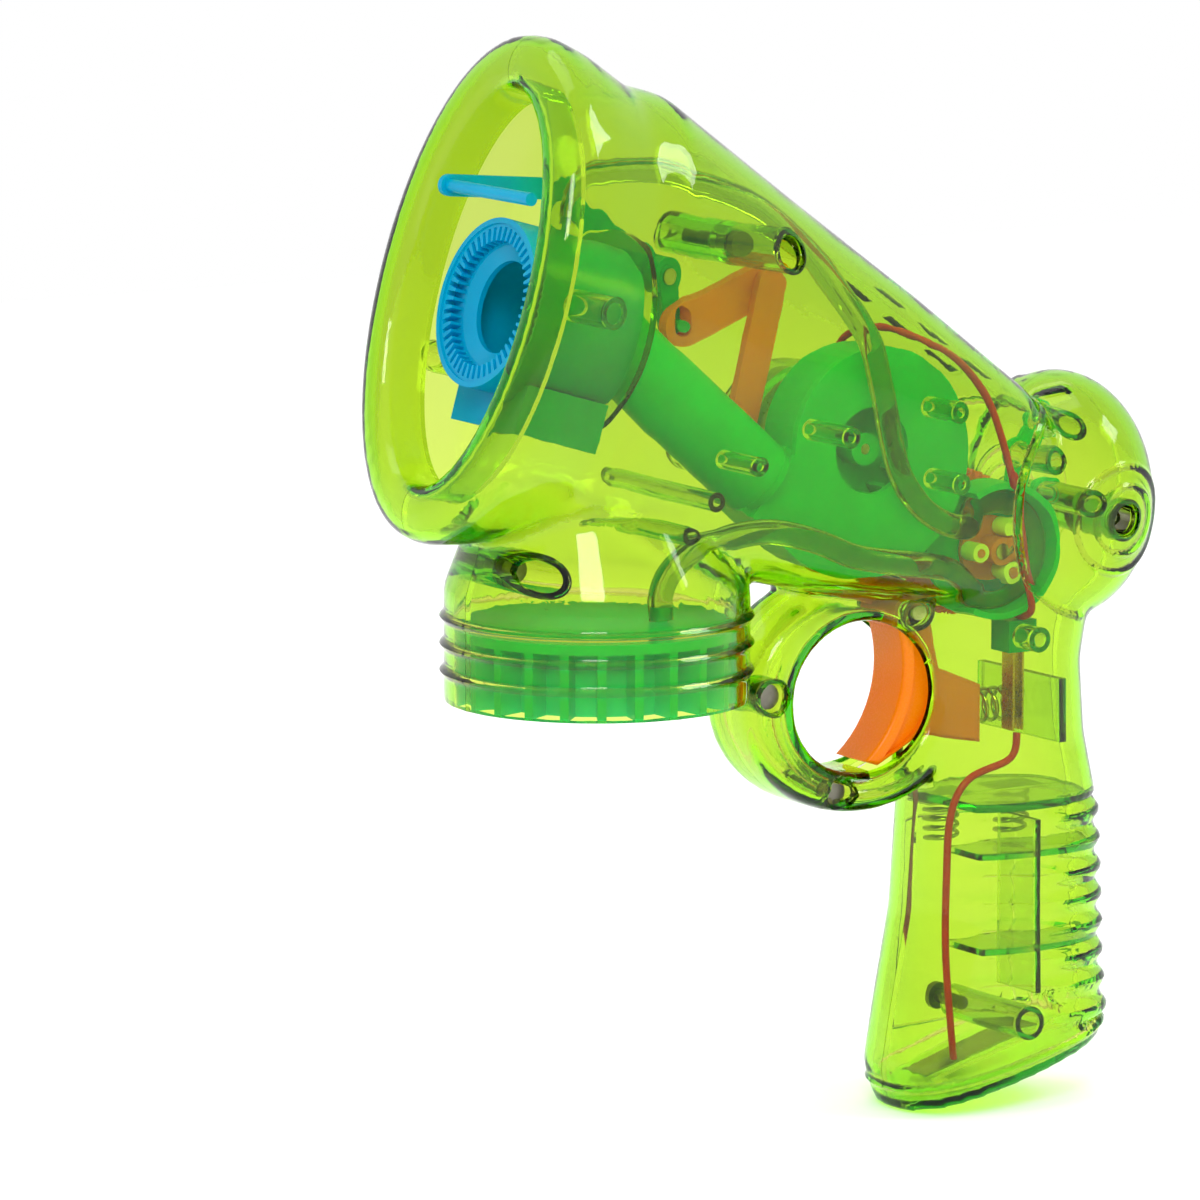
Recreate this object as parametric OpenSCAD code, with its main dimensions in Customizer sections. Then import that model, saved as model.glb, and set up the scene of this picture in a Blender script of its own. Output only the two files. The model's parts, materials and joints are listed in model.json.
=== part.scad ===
// Battery bubble gun: a clear two-half case around a fan, a solution pump and a bubble ring.
// Origin: centre of the bottle socket's mouth. +X is the blowing direction, +Y the gun's left.

/* [Case] */
// Wall of the moulded case halves
wall = 2; // [1.6:0.1:2.4]
// Tilt of the bell's axis above the horizontal, degrees
bell_tilt = 16; // [14:1:18]
// Height of the bell's mouth centre above the socket mouth
bell_z = 77.9; // [76:0.1:80]
// Distance of the bell's mouth centre in front of the socket axis
bell_x = 29.9; // [28:0.1:32]
// Half height of the mouth opening inside the lip
mouth_hh = 36.2; // [33:0.1:38]
// Half width of the mouth opening inside the lip
mouth_hw = 21.3; // [19:0.1:23]
// Depth of the lip's return flange
lip_depth = 10; // [6:0.5:12]
// Half thickness of the trigger guard
guard_half = 9; // [8:0.5:10]
// Number of ridges down the back of the grip
ridge_count = 8; // [4:1:8]
// Radial height of each grip ridge
ridge_h = 1.2; // [0.6:0.1:1.6]

/* [Bottle socket] */
// Outer radius of the socket skirt
skirt_r = 28; // [27.6:0.1:29]
// Height of the straight part of the skirt
skirt_h = 21; // [19:0.5:23]
// Radius of the bottle neck bore
neck_r = 19; // [18:0.1:20]
// Depth of the bottle neck bore
neck_depth = 12; // [10:0.5:13]
// Number of slats round the bottle collar
slat_count = 24; // [12:1:30]

/* [Blower] */
// Radius of the fan impeller
fan_r = 14; // [11:0.5:14.5]
// Number of impeller blades
blade_count = 12; // [6:1:16]
// Outside radius of the air duct
duct_r = 7.5; // [6.5:0.1:7.8]
// Radius of the flat motor
motor_r = 12.2; // [10:0.1:12.5]
// Length of the motor can
motor_len = 12.4; // [10:0.1:12.6]
// Radius of the motor shaft
shaft_r = 1; // [0.8:0.05:1.2]

/* [Gears and pump] */
// Gear module
gear_m = 0.6; // [0.58:0.01:0.61]
// Teeth on each pinion
pinion_teeth = 10; // [9:1:11]
// Teeth on each large gear
wheel_teeth = 50; // [48:1:51]
// Teeth on the idler's second pinion
second_teeth = 16; // [14:1:17]
// Face width of the gears
gear_face = 2.6; // [2:0.1:2.8]
// Outside radius of the clear hose
hose_r = 2.3; // [2:0.1:2.4]
// Bore radius of the clear hose
hose_bore_r = 1.5; // [1:0.1:1.7]
// Radius of the pump rollers
roller_r = 1.8; // [1.4:0.1:2]

/* [Bubble ring] */
// Outer radius of the bubble ring
ring_r = 15.6; // [14.5:0.1:15.8]
// Radius of the ring's clear opening
ring_bore_r = 8.5; // [8:0.1:10]
// Number of capillary teeth on the ring
ring_teeth = 48; // [24:1:60]
// Length of the drum behind the ring
drum_len = 18; // [16:0.5:19]

/* [Trigger] */
// Half thickness of the trigger
trigger_half = 5.5; // [4.5:0.1:5.8]
// Radius of the trigger's pivot pin
pin_r = 1.5; // [1.2:0.1:1.8]
// Radius of the finger curve in the trigger's face
finger_r = 22; // [20:0.5:24]
// Wire radius of the trigger spring
spring_wire_r = 0.4; // [0.3:0.05:0.45]
// Coil radius of the trigger spring at the wire's middle
spring_r = 3; // [2.6:0.1:3.4]

/* [Battery bay] */
// Width of the battery door
door_w = 28; // [24:0.5:29]
// Height of the battery door
door_h = 40; // [36:0.5:41]

/* [Fits] */
// Gap round pieces that are set into the case
seat_gap = 0.3; // [0.2:0.05:0.4]
// Radial running clearance of shafts and pins
run_gap = 0.05; // [0.02:0.01:0.09]
// Play round the pegs of the trigger linkage
link_play = 0.8; // [0.6:0.1:1]

/* [Hidden] */
$fn = 40;
section_sides = 36;
section_power = 2.6;
post_sides = 16;
oval_sides = 40;

// Sections of the case along the bell's axis: depth, top, bottom, half width, roundness
body_sections = [
  [0, 44.4, -44.4, 28.3, 2.05],
  [2.5, 46.5, -46.3, 30.2, 2.05],
  [6, 47.2, -47, 31, 2.05],
  [12, 46, -45.5, 30.3, 2.1],
  [22, 42.4, -42.5, 28, 2.2],
  [30, 42.5, -43, 28.3, 2.3],
  [60, 31, -41, 26, 2.5],
  [90, 19.6, -38.5, 22.5, 3.2],
  [120, 8.3, -35, 18.5, 3.2],
  [140, -2, -32, 14, 3]
];
// Sections of the grip: height, middle, half length, half width, tilt
grip_sections = [
  [18, -88, 18.5, 15.5, 0],
  [0, -86.3, 17, 15, 0],
  [-14, -86.8, 17.6, 15, 0],
  [-26, -88.5, 18.6, 15.5, 0],
  [-46, -88.3, 20, 15.5, 3],
  [-62, -86.8, 22.2, 16, 8],
  [-72, -86.3, 24, 16.5, 12],
  [-78.3, -87, 22, 14.5, 15.6]
];
dome = [-101.8, 0, 29.8];
dome_r = [17, 21, 23.6];
guard = [-53.6, -3.8];
guard_hole = [15.3, 14.2];
guard_outer = [25.6, 21.7];
ridge_pitch = 5.4;
ridge_top = -29;

// Points in the XZ plane that pieces share
fan = [-53.6, 42.7];
duct_angle = 41;
outlet_offset = 17.5;
drive_angle = 215.7;
gear_gap = gear_m * (pinion_teeth + wheel_teeth) / 2 + 0.05;
idler = fan + gear_gap * [cos(drive_angle), sin(drive_angle)];
pump = fan + 2 * gear_gap * [cos(drive_angle), sin(drive_angle)];
ring_mid_h = -1.9;
ring_front_d = 7;
trigger_pivot = [-65.3, 11.4];
trigger_peg = [-50.2, 20.4];
lever_pivot = [-32.5, 40.5];
lever_top = [-40.7, 73];
wiper_pivot = [-21.4, 75];
wiper_tail = [-22.8, 66];

// Lanes across the gun, as y from and to
fan_y = [-2, 9];
fan_wall = 1.4;
idler_y = -5.4;
plate_y = [-10.9, -9.1];
arm_y = [-4.4, -2.3];
lever_y = [-6.5, -4.7];
link_y = [-9.6, -6.8];
tail_y = [-12.6, -9.9];
motor_face_y = -6.1;
pump_y = [2, 9.5];
hose_mid_y = (pump_y[0] + pump_y[1]) / 2;

// Screws that close the case, and posts that carry the inner pieces
screw_spots = [[21, 26], [-27.6, 82], [-104, 27], [-33.3, -2], [-48, -21.2]];
screw_r = 1.3;
boss_r = 4;
well_r = 2.8;
head_gap = 0.4;
head_y = 4;
fan_post_angles = [20, 150, 205];
fan_post_r = 14.5;
cross_posts = [[-15.6, 37], [-10, 30.7]];
bay_mid = [-88, -52];
vents = [[-61, 72], [-71, 65], [-80.6, 58]];
vent_size = [7, 3, 12];
vent_y = 6;
roof_slope = 36;
shelf_z = -27;
shelf_t = 1.6;
cell_x = [-96, -80];
cell_y = -5.5;
cell_r = 7.25;
cradle_z = [-36, -54];
rib_t = 1.2;
backing_r = 18.5;
backing_t = 1.4;
drum_post = [12, 1];
drum_post_low = [12, -13];
drum_r = ring_r;
drum_wall = 1.4;
ring_len = 5;
drum_front_d = ring_front_d + ring_len;
drum_low_half = sqrt(pow(drum_r, 2) - pow(ring_mid_h - drum_post_low[1] - 3, 2));
outlet_half = 6;
outlet_len = 14.6;
outlet_spigot_r = duct_r - fan_wall - 0.2;
intake_r = 8;
pump_shaft_r = 1.5;
pump_teeth = pinion_teeth + wheel_teeth - second_teeth;
pump_tip_r = gear_m * (pump_teeth + 2) / 2;
pump_gear_y = idler_y - gear_face - 0.4;
plate_posts = [[-68, 24], [-91, 25]];
pump_eyes = [[-95.6, 44.6], [-90.7, 38.6], [-96.8, 30.6]];
pump_floor = 1.2;
roller_orbit = 4.7;
hose_path_r = roller_orbit + roller_r + hose_r + seat_gap;
pump_in_r = hose_path_r + hose_r + seat_gap;
pump_out_r = pump_in_r + 1.2;
hose_sides = 8;
hose_fit_r = hose_bore_r - 0.35;
coil_sides = 6;
collar_top = neck_depth + 2;
spigot = [-10, 6];
spigot_d = 18;
trigger_swing = 11;
trigger_eye_r = 4.2;
spring_seat_x = -93.4;
spring_z = -9;
trigger_back_x = -81.5;
switch_post = [-88.4, 5];
leaf_x = [-89.4, -87.4];
leaf_y = [3.9, 7.3];
leaf_bottom_z = -13;
bay_half = guard_half - wall;
door_screw_at = [-86, -67.5];
door_seat_y = -15.6;
door_head_r = 2.6;
base_tilt = 15.6;

// Route of the hose from the collar to the pump, and from the pump to the ring
suction_route = [
  [-10, 6, 14.4], [-10, 6, 19], [-11.5, 8, 24], [-17, 11, 28.8], [-27, 13.4, 30.5], [-38, 13, 28],
  [-48, 11.9, 24], [-58, 11.9, 22], [-66, 10.8, 20.6], [-72.5, 8.2, 18.4]
];
delivery_route = [
  [-75.6, 8.9, 27.9], [-72.3, 12.1, 27.4], [-67.5, 12.3, 28.6], [-62.5, 12, 32], [-58, 12, 38], [-55.5, 12, 46],
  [-53.5, 12, 55], [-50.5, 12, 64], [-44, 11.5, 73], [-37.8, 9.5, 81.4], [-29.6, 7.3, 89], [-19, 6, 93.4],
  [-9, 4.5, 96.4], [1.5, 1.6, 96], [7.2, 0, 91.8], [8.4, 0, 87.4]
];
battery_lead_route = [
  [-89.2, 5.6, -13.8], [-87.5, 6, -18.5], [-78, 6.5, -21.5], [-74.5, 6, -28], [-73.6, 6, -40], [-73.4, 6, -54],
  [-75, 5, -66], [-78, 2, -75.6]
];
motor_lead_route = [
  [-56, -10, 55.4], [-57.5, -6, 62], [-60, 1, 64.5], [-65, 8, 62.5], [-71, 11, 58.6], [-77, 12, 51],
  [-81, 12.4, 41], [-84, 12.4, 30], [-86, 12.4, 18], [-88, 11.6, 11], [-88.4, 8.6, 8.8], [-88.4, 6, 8.9]
];
wire_r = 0.7;
peg_r = 1.1;
spring_turns = 5;
wiper_d = 4;
wiper_h = 17.5;
wiper_elbow = [-2.1, 91.6];
wiper_gap = 1.45;
wiper_t = 1.25;
lip_half = mouth_hw * sqrt(1 - pow(wiper_h / mouth_hh, 2));
wiper_y = [wiper_gap - lip_half, wiper_gap - lip_half + wiper_t];

function oval(a, b, power) = [
  for (i = [0:section_sides - 1])
    let (t = 360 * i / section_sides)
    [
      a * sign(cos(t)) * pow(abs(cos(t)), 2 / power),
      b * sign(sin(t)) * pow(abs(sin(t)), 2 / power)
    ]
];
function bell_point(d, h) = [
  bell_x - d * cos(bell_tilt) - h * sin(bell_tilt),
  bell_z - d * sin(bell_tilt) + h * cos(bell_tilt)
];

// A point of the XZ plane turned about another, as a joint along +Y turns it
function swung(p, about, angle) =
  let (v = p - about)
  about + [v[0] * cos(angle) + v[1] * sin(angle), v[1] * cos(angle) - v[0] * sin(angle)];

// A flat slab with a squared oval outline, centred on its thickness
module slab(a, b, thick) {
  linear_extrude(thick, center = true) polygon(oval(a, b, section_power));
}

// Faces of a skin over rings of points, and the caps at its two ends
function skin_faces(n, sides) = [
  for (i = [0:n - 2], k = [0:sides - 1])
    let (a = i * sides + k, b = i * sides + (k + 1) % sides)
    each [[a, a + sides, b + sides], [a, b + sides, b]]
];
function cap_faces(n, sides) = [
  [for (k = [0:sides - 1]) k],
  [for (k = [sides - 1:-1:0]) (n - 1) * sides + k]
];

// A solid lofted through rings, each seen turning the same way along the run
module loft(rings) {
  n = len(rings);
  sides = len(rings[0]);
  polyhedron([for (r = rings) each r], concat(skin_faces(n, sides), cap_faces(n, sides)));
}

// Places children on the bell's axis: local z runs out of the mouth, local -x is up the mouth
module at_bell(d = 0, h = 0) {
  translate([bell_x, 0, bell_z]) rotate([0, 90 - bell_tilt, 0]) translate([-h, 0, -d]) children();
}

// Extrudes an XZ outline across the gun between two y values
module across(lane) {
  translate([0, lane[1], 0]) rotate([90, 0, 0]) linear_extrude(lane[1] - lane[0]) children();
}

// A round bar across the gun at an XZ point
module bar(p, r, lane) {
  across(lane) translate(p) circle(r);
}

// A straight strip with round ends between two XZ points
module strip(a, b, w) {
  heading = atan2(b[1] - a[1], b[0] - a[0]);
  steps = 10;
  polygon([
    for (end = [[a, 90], [b, -90]], i = [0:steps])
      let (turn = heading + end[1] + 180 * i / steps)
      end[0] + w / 2 * [cos(turn), sin(turn)]
  ]);
}

function body_ring(s, inset) =
  let (
    last = body_sections[len(body_sections) - 1][0],
    d = min(max(s[0], inset), last - inset),
    mid = bell_point(d, (s[1] + s[2]) / 2),
    up = [-sin(bell_tilt), 0, cos(bell_tilt)]
  )
  [
    for (p = oval((s[1] - s[2]) / 2 - inset, s[3] - inset, s[4]))
      [mid[0], 0, mid[1]] + p[0] * up + [0, p[1], 0]
  ];

module body_form(inset) {
  loft([for (s = body_sections) body_ring(s, inset)]);
}

function grip_ring(s, inset) =
  let (
    last = grip_sections[len(grip_sections) - 1][0],
    lift = s[0] == last ? inset : 0,
    along = [cos(s[4]), 0, -sin(s[4])]
  )
  [
    for (p = oval(s[2] - inset, s[3] - inset, section_power))
      [s[1], 0, s[0] + lift] + p[0] * along - [0, p[1], 0]
  ];

module grip_form(inset) {
  loft([for (s = grip_sections) grip_ring(s, inset)]);
}

module dome_form(inset) {
  translate(dome) scale(dome_r - [inset, inset, inset]) sphere(1, $fn = 30);
}

function neck_ring(x, z, r) = [
  for (i = [0:oval_sides - 1])
    let (a = -360 * i / oval_sides)
    [x + r * cos(a), r * sin(a), z]
];

// Socket skirt, drawn in above to meet the body
module neck_form(inset) {
  loft([
    neck_ring(2, skirt_h + 14, skirt_r - 7 - inset),
    neck_ring(0, skirt_h, skirt_r - inset),
    neck_ring(0, inset > 0 ? -1 : 0, skirt_r - inset)
  ]);
}

module skirt_ribs() {
  rib_r = 0.8;
  for (z = [5.5, 10.5, 15.5]) {
    translate([0, 0, z]) rotate_extrude($fn = oval_sides) translate([skirt_r, 0]) circle(rib_r, $fn = 4);
  }
}

module guard_oval(grow, half) {
  across([-half, half]) translate(guard)
    scale([guard_outer[0] + grow, guard_outer[1] + grow]) circle(1, $fn = oval_sides);
}

module finger_oval(grow, half) {
  across([-half, half]) translate(guard)
    scale([guard_hole[0] + grow, guard_hole[1] + grow]) circle(1, $fn = oval_sides);
}

module guard_form() {
  guard_oval(0, guard_half - 2.4);
  guard_oval(-1, guard_half - 1);
  guard_oval(-2.2, guard_half);
}

module guard_hollow() {
  difference() {
    guard_oval(-wall, guard_half - wall);
    finger_oval(wall, guard_half);
  }
}

// Round-topped ridges that wrap the back of the grip
module grip_ridges() {
  for (i = [0:ridge_count - 1]) {
    z = ridge_top - i * ridge_pitch;
    half = lookup(z, [for (s = grip_sections) [s[0], s[2]]]);
    mid = lookup(z, [for (s = grip_sections) [s[0], s[1]]]);
    side = lookup(z, [for (s = grip_sections) [s[0], s[3]]]);
    tilt = lookup(z, [for (s = grip_sections) [s[0], s[4]]]);
    translate([mid, 0, z]) rotate([0, tilt, 0]) intersection() {
      hull() {
        slab(half - 0.8, side - 0.8, 4.4);
        slab(half + ridge_h, side + ridge_h / 2, 1.2);
      }
      translate([-60 - half / 2, -40, -5]) cube([60, 80, 10]);
    }
  }
}

// The case's outside as one solid
module case_outer() {
  body_form(0);
  grip_form(0);
  dome_form(0);
  neck_form(0);
  guard_form();
  grip_ridges();
}

// The case shrunk to the middle of its wall, which ends the posts inside the wall
module case_core() {
  half = wall / 2;
  body_form(half);
  grip_form(half);
  dome_form(half);
  neck_form(half);
  guard_oval(-half - 0.3, guard_half - 1.4);
}

// Everything that is open inside the case
module case_cavity() {
  body_form(wall);
  grip_form(wall);
  dome_form(wall);
  neck_form(wall);
  guard_hollow();
  across([-bay_half, bay_half])
    polygon([[-73, 12.6], [-47, 12.6], [-44.6, 16.9], [-44.6, 24.6], [-73, 24.6]]);
  across([pump_gear_y - seat_gap, pump_gear_y + gear_face + seat_gap]) translate(pump)
    circle(pump_tip_r + 0.5, $fn = 40);
}

// The curled lip's return flange, before the mouth is cut through it
module lip_flange() {
  at_bell(lip_depth) linear_extrude(lip_depth - wall / 4) polygon(oval(mouth_hh + wall, mouth_hw + wall, 2));
}

module case_openings() {
  at_bell(lip_depth + 1) linear_extrude(lip_depth + 20) polygon(oval(mouth_hh, mouth_hw, 2));
  finger_oval(0, 40);
  slot_half = trigger_half + 0.6;
  intersection() {
    across([-slot_half, slot_half])
      polygon([[-76, -24], [-55.5, -24], [-55.5, -12], [-58, -8], [-58, 13], [-76, 13]]);
    guard_oval(-wall, slot_half + 1);
  }
  bar(trigger_pivot, trigger_eye_r + 0.8, [-slot_half, slot_half]);
  for (p = vents, y = [-vent_y, vent_y]) {
    translate([p[0], y, p[1]]) rotate([0, -roof_slope, 0]) cube(vent_size, center = true);
  }
}

// Bare case with walls, lip, guard and ridges, before posts
module case_walls() {
  difference() {
    union() {
      difference() {
        case_outer();
        case_cavity();
      }
      lip_flange();
      finger_oval(wall + 0.2, guard_half - 1.2);
      skirt_ribs();
    }
    case_openings();
  }
}

module side_space(side) {
  translate([-200, side > 0 ? 0 : -100, -150]) cube([400, 100, 300]);
}

// Posts and shelves that both halves carry, from the middle out to the wall
module shared_posts(side) {
  out = 40 * side;
  for (p = screw_spots) {
    bar(p, boss_r, side > 0 ? [0, out] : [out, 0]);
  }
  near = (trigger_half + seat_gap) * side;
  bar(trigger_pivot, pin_r + 2, side > 0 ? [near, out] : [out, near]);
  translate([-110, side > 0 ? 0 : -20, shelf_z]) cube([34, 20, shelf_t]);
  translate([spring_seat_x - shelf_t, side > 0 ? 0 : -20, spring_z - 6]) cube([shelf_t, 20, 12]);
}

// Ribs in the grip that cradle the two cells, with a wall between the cells
module cell_cradle() {
  first = 0.4;
  middle = (cell_x[0] + cell_x[1]) / 2;
  difference() {
    union() {
      for (z = cradle_z) {
        translate([-110, first, z]) cube([33.5, 20, rib_t]);
      }
      translate([middle - rib_t / 2, first + 2, cradle_z[1] - 8])
        cube([rib_t, 20, shelf_z - cradle_z[1] + 6]);
    }
    for (x = cell_x) {
      translate([x, cell_y, -90]) cylinder(r = cell_r + seat_gap, h = 80);
    }
  }
}

module left_posts() {
  shared_posts(1);
  cell_cradle();
  for (a = fan_post_angles) {
    bar(fan + fan_post_r * [cos(a), sin(a)], 2, [fan_y[1] + seat_gap, 40]);
  }
  bar(bell_point(drum_post[0] + 4, drum_post[1]), 3, [drum_r + seat_gap, 40]);
  bar([-19.5, 44], 1.8, [11.6, 40]);
  for (p = pump_eyes) {
    bar(p, 2.6, [pump_y[0] + pump_floor + 0.1, 40]);
  }
  bar(switch_post, 2.4, [8.5, 40]);
  bar(door_screw_at, 3.2, [-10, 40]);
}

module right_posts() {
  shared_posts(-1);
  across([-40, -12.7]) translate(fan) difference() {
    circle(motor_r + seat_gap + 1.5, $fn = 36);
    circle(motor_r + seat_gap, $fn = 36);
  }
  for (p = plate_posts) {
    bar(p, 2.4, [-40, plate_y[0] - 0.1]);
  }
  bar(lever_pivot, pin_r + 2, [-40, lever_y[0] - seat_gap]);
  bar(wiper_pivot, pin_r + 2, [-40, wiper_y[0] - seat_gap]);
  bar(bell_point(drum_post_low[0] + 4, drum_post_low[1]), 3, [-40, -drum_low_half - seat_gap]);
  for (p = cross_posts) {
    bar(p, 1.8, [-40, 15.5]);
  }
}

module left_shell() {
  $fn = post_sides;
  color("greenyellow") difference() {
    union() {
      intersection() {
        case_walls();
        side_space(1);
      }
      difference() {
        intersection() {
          case_core();
          left_posts();
        }
        finger_oval(wall, 40);
      }
    }
    for (p = screw_spots) {
      bar(p, screw_r + seat_gap, [-1, 40]);
      bar(p, well_r, [head_y, 40]);
    }
    bar(door_screw_at, screw_r + seat_gap, [-11, 0]);
    bar(trigger_pivot, pin_r + 0.12, [-1, trigger_half + 3]);
  }
}

module right_shell() {
  $fn = post_sides;
  color("greenyellow") difference() {
    union() {
      intersection() {
        case_walls();
        side_space(-1);
      }
      difference() {
        intersection() {
          case_core();
          right_posts();
        }
        finger_oval(wall, 40);
      }
    }
    for (p = screw_spots) {
      bar(p, screw_r + seat_gap, [-12, 1]);
    }
    bar(trigger_pivot, pin_r + 0.12, [-trigger_half - 3, 1]);
    bar(lever_pivot, pin_r + 0.12, [-16, 1]);
    bar(wiper_pivot, pin_r + 0.12, [wiper_y[0] - 4, 1]);
    door_block(seat_gap);
  }
}

// Block that cuts the battery door out of the grip's right wall
module door_block(grow) {
  outside_y = -25;
  inside_y = -9;
  translate([bay_mid[0] - door_w / 2 - grow, outside_y, bay_mid[1] - door_h / 2 - grow])
    cube([door_w + 2 * grow, inside_y - outside_y, door_h + 2 * grow]);
}

// Fan scroll outline, grown by a wall; open is how far the outlet reaches past its end
module scroll(grow, open) {
  steps = 40;
  first = duct_angle - 30;
  last = duct_angle + 270;
  low = fan_r + 1.5 + grow;
  high = outlet_offset + outlet_half + grow;
  translate(fan) {
    circle(low);
    polygon([
      for (i = [0:steps])
        let (t = i / steps, a = first + (last - first) * t)
        (low + (high - low) * t) * [cos(a), sin(a)]
    ]);
    rotate(duct_angle) translate([0, -high]) square([outlet_len + open, 2 * (outlet_half + grow)]);
  }
}

// Places children on the duct's axis, local z along the flow, from the fan's tangent point
module at_duct(along) {
  translate([fan[0], (fan_y[0] + fan_y[1]) / 2, fan[1]]) rotate([0, 90 - duct_angle, 0])
    translate([outlet_offset, 0, along]) children();
}

module fan_housing() {
  color("teal") {
    difference() {
      union() {
        across([fan_y[0], fan_y[1] - fan_wall - 0.05]) scroll(fan_wall, 0);
        at_duct(outlet_len - fan_wall) cylinder(r = duct_r, h = fan_wall);
        at_duct(outlet_len - fan_wall) cylinder(r = outlet_spigot_r, h = fan_wall + 6);
      }
      across([fan_y[0] + fan_wall, fan_y[1]]) scroll(0, -fan_wall);
      at_duct(outlet_len - 2 * fan_wall) cylinder(r = outlet_spigot_r - 1.2, h = 12);
      bar(fan, shaft_r + 1, [-20, 20]);
    }
  }
}

module fan_cover() {
  color("teal") across([fan_y[1] - fan_wall, fan_y[1]]) difference() {
    scroll(fan_wall, -fan_wall - 0.2);
    translate(fan) circle(intake_r);
  }
}

module impeller() {
  lane = [fan_y[0] + fan_wall + 1, fan_y[1] - fan_wall - 0.8];
  color("deepskyblue") difference() {
    union() {
      bar(fan, fan_r, [lane[0], lane[0] + 1]);
      bar(fan, 3, lane);
      for (i = [0:blade_count - 1]) {
        across(lane) translate(fan) rotate(360 * i / blade_count) translate([intake_r, -0.5])
          square([fan_r - intake_r - 0.3, 1]);
      }
    }
    bar(fan, shaft_r + run_gap, [-20, 20]);
  }
}

module motor() {
  color("silver") difference() {
    union() {
      bar(fan, motor_r, [motor_face_y - motor_len, motor_face_y]);
      bar(fan, 2, [motor_face_y - 1, motor_face_y + 0.4]);
    }
    bar(fan, shaft_r + run_gap, [motor_face_y - 9, motor_face_y + 2]);
  }
}

module motor_shaft() {
  color("gainsboro") bar(fan, shaft_r, [motor_face_y - 8.5, fan_y[1] - fan_wall - 1]);
}

// Outline of a spur gear with straight-sided teeth; one tooth points along the start angle
module gear_outline(teeth, start) {
  root = gear_m * (teeth - 2.5) / 2;
  tip = gear_m * (teeth + 2) / 2;
  pitch = 360 / teeth;
  polygon([
    for (i = [0:teeth - 1], k = [[-0.30, root], [-0.11, tip], [0.11, tip], [0.30, root]])
      let (a = start + (i + k[0]) * pitch)
      k[1] * [cos(a), sin(a)]
  ]);
}

module motor_pinion() {
  color("white") across([idler_y, idler_y + gear_face + 0.2]) translate(fan) difference() {
    gear_outline(pinion_teeth, drive_angle);
    circle(shaft_r + run_gap);
  }
}

module idler_gear() {
  wheel = drive_angle + 180 + 180 / wheel_teeth;
  color("orange") difference() {
    union() {
      across([idler_y, idler_y + gear_face]) translate(idler) gear_outline(wheel_teeth, wheel);
      across([pump_gear_y - 0.3, idler_y]) translate(idler) gear_outline(second_teeth, drive_angle);
    }
    bar(idler, shaft_r + run_gap, [-20, 20]);
  }
}

module idler_pin() {
  color("gainsboro") bar(idler, shaft_r, [plate_y[0], idler_y + gear_face + 0.5]);
}

module pump_gear() {
  wheel = drive_angle + 180 + 180 / pump_teeth;
  color("orange") across([pump_gear_y, pump_gear_y + gear_face]) translate(pump) difference() {
    gear_outline(pump_teeth, wheel);
    circle(pump_shaft_r + run_gap);
    for (a = [0:60:300]) {
      rotate(a) translate([7.6, 0]) circle(2.6);
    }
  }
}

module pump_shaft() {
  color("gainsboro") bar(pump, pump_shaft_r, [plate_y[0] + 0.2, pump_y[1] - 0.2]);
}

module pump_rotor() {
  color("orangered") difference() {
    union() {
      bar(pump, roller_orbit - roller_r - seat_gap, [pump_y[0] + pump_floor + 0.3, pump_y[1] - 0.4]);
      bar(pump, 6.2, [pump_y[0] + pump_floor + 0.3, pump_y[0] + pump_floor + 1.3]);
      for (a = [0:120:240]) {
        across([pump_y[0] + pump_floor + 1.2, pump_y[1] - 0.4])
          translate(pump + roller_orbit * [cos(a), sin(a)]) circle(roller_r - 1);
      }
    }
    bar(pump, pump_shaft_r + run_gap, [-20, 20]);
  }
}

module pump_rollers() {
  color("white") for (a = [0:120:240]) {
    across([pump_y[0] + pump_floor + 1.5, pump_y[1] - 0.6])
      translate(pump + roller_orbit * [cos(a), sin(a)]) difference() {
        circle(roller_r);
        circle(roller_r - 1 + run_gap);
      }
  }
}

// Track that holds the hose round the rotor, with arms to its screw eyes
module pump_housing() {
  floor_lane = [pump_y[0], pump_y[0] + pump_floor];
  color("teal") difference() {
    union() {
      bar(pump, pump_out_r, floor_lane);
      across(floor_lane) {
        strip(pump + [-6, 6], pump_eyes[1], 4);
        strip(pump_eyes[1], pump_eyes[0], 4);
        strip(pump + [-8, 4], pump_eyes[2], 4);
        for (p = pump_eyes) {
          translate(p) circle(3.2);
        }
      }
      across(pump_y) translate(pump) difference() {
        circle(pump_out_r);
        circle(pump_in_r);
        polygon([[0, 0], [9, 16], [30, 16], [30, -16], [9, -16]]);
      }
    }
    bar(pump, pump_shaft_r + run_gap, [-20, 20]);
    for (p = pump_eyes) {
      bar(p, 1.7, [-20, 20]);
    }
  }
}

module gear_plate() {
  color("teal") across(plate_y) difference() {
    union() {
      strip(idler, pump, 9);
      strip(idler, plate_posts[0], 7);
      strip(pump, plate_posts[1], 7);
    }
    translate(idler) circle(shaft_r + 0.02);
    translate(pump) circle(pump_shaft_r + run_gap);
  }
}

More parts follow.
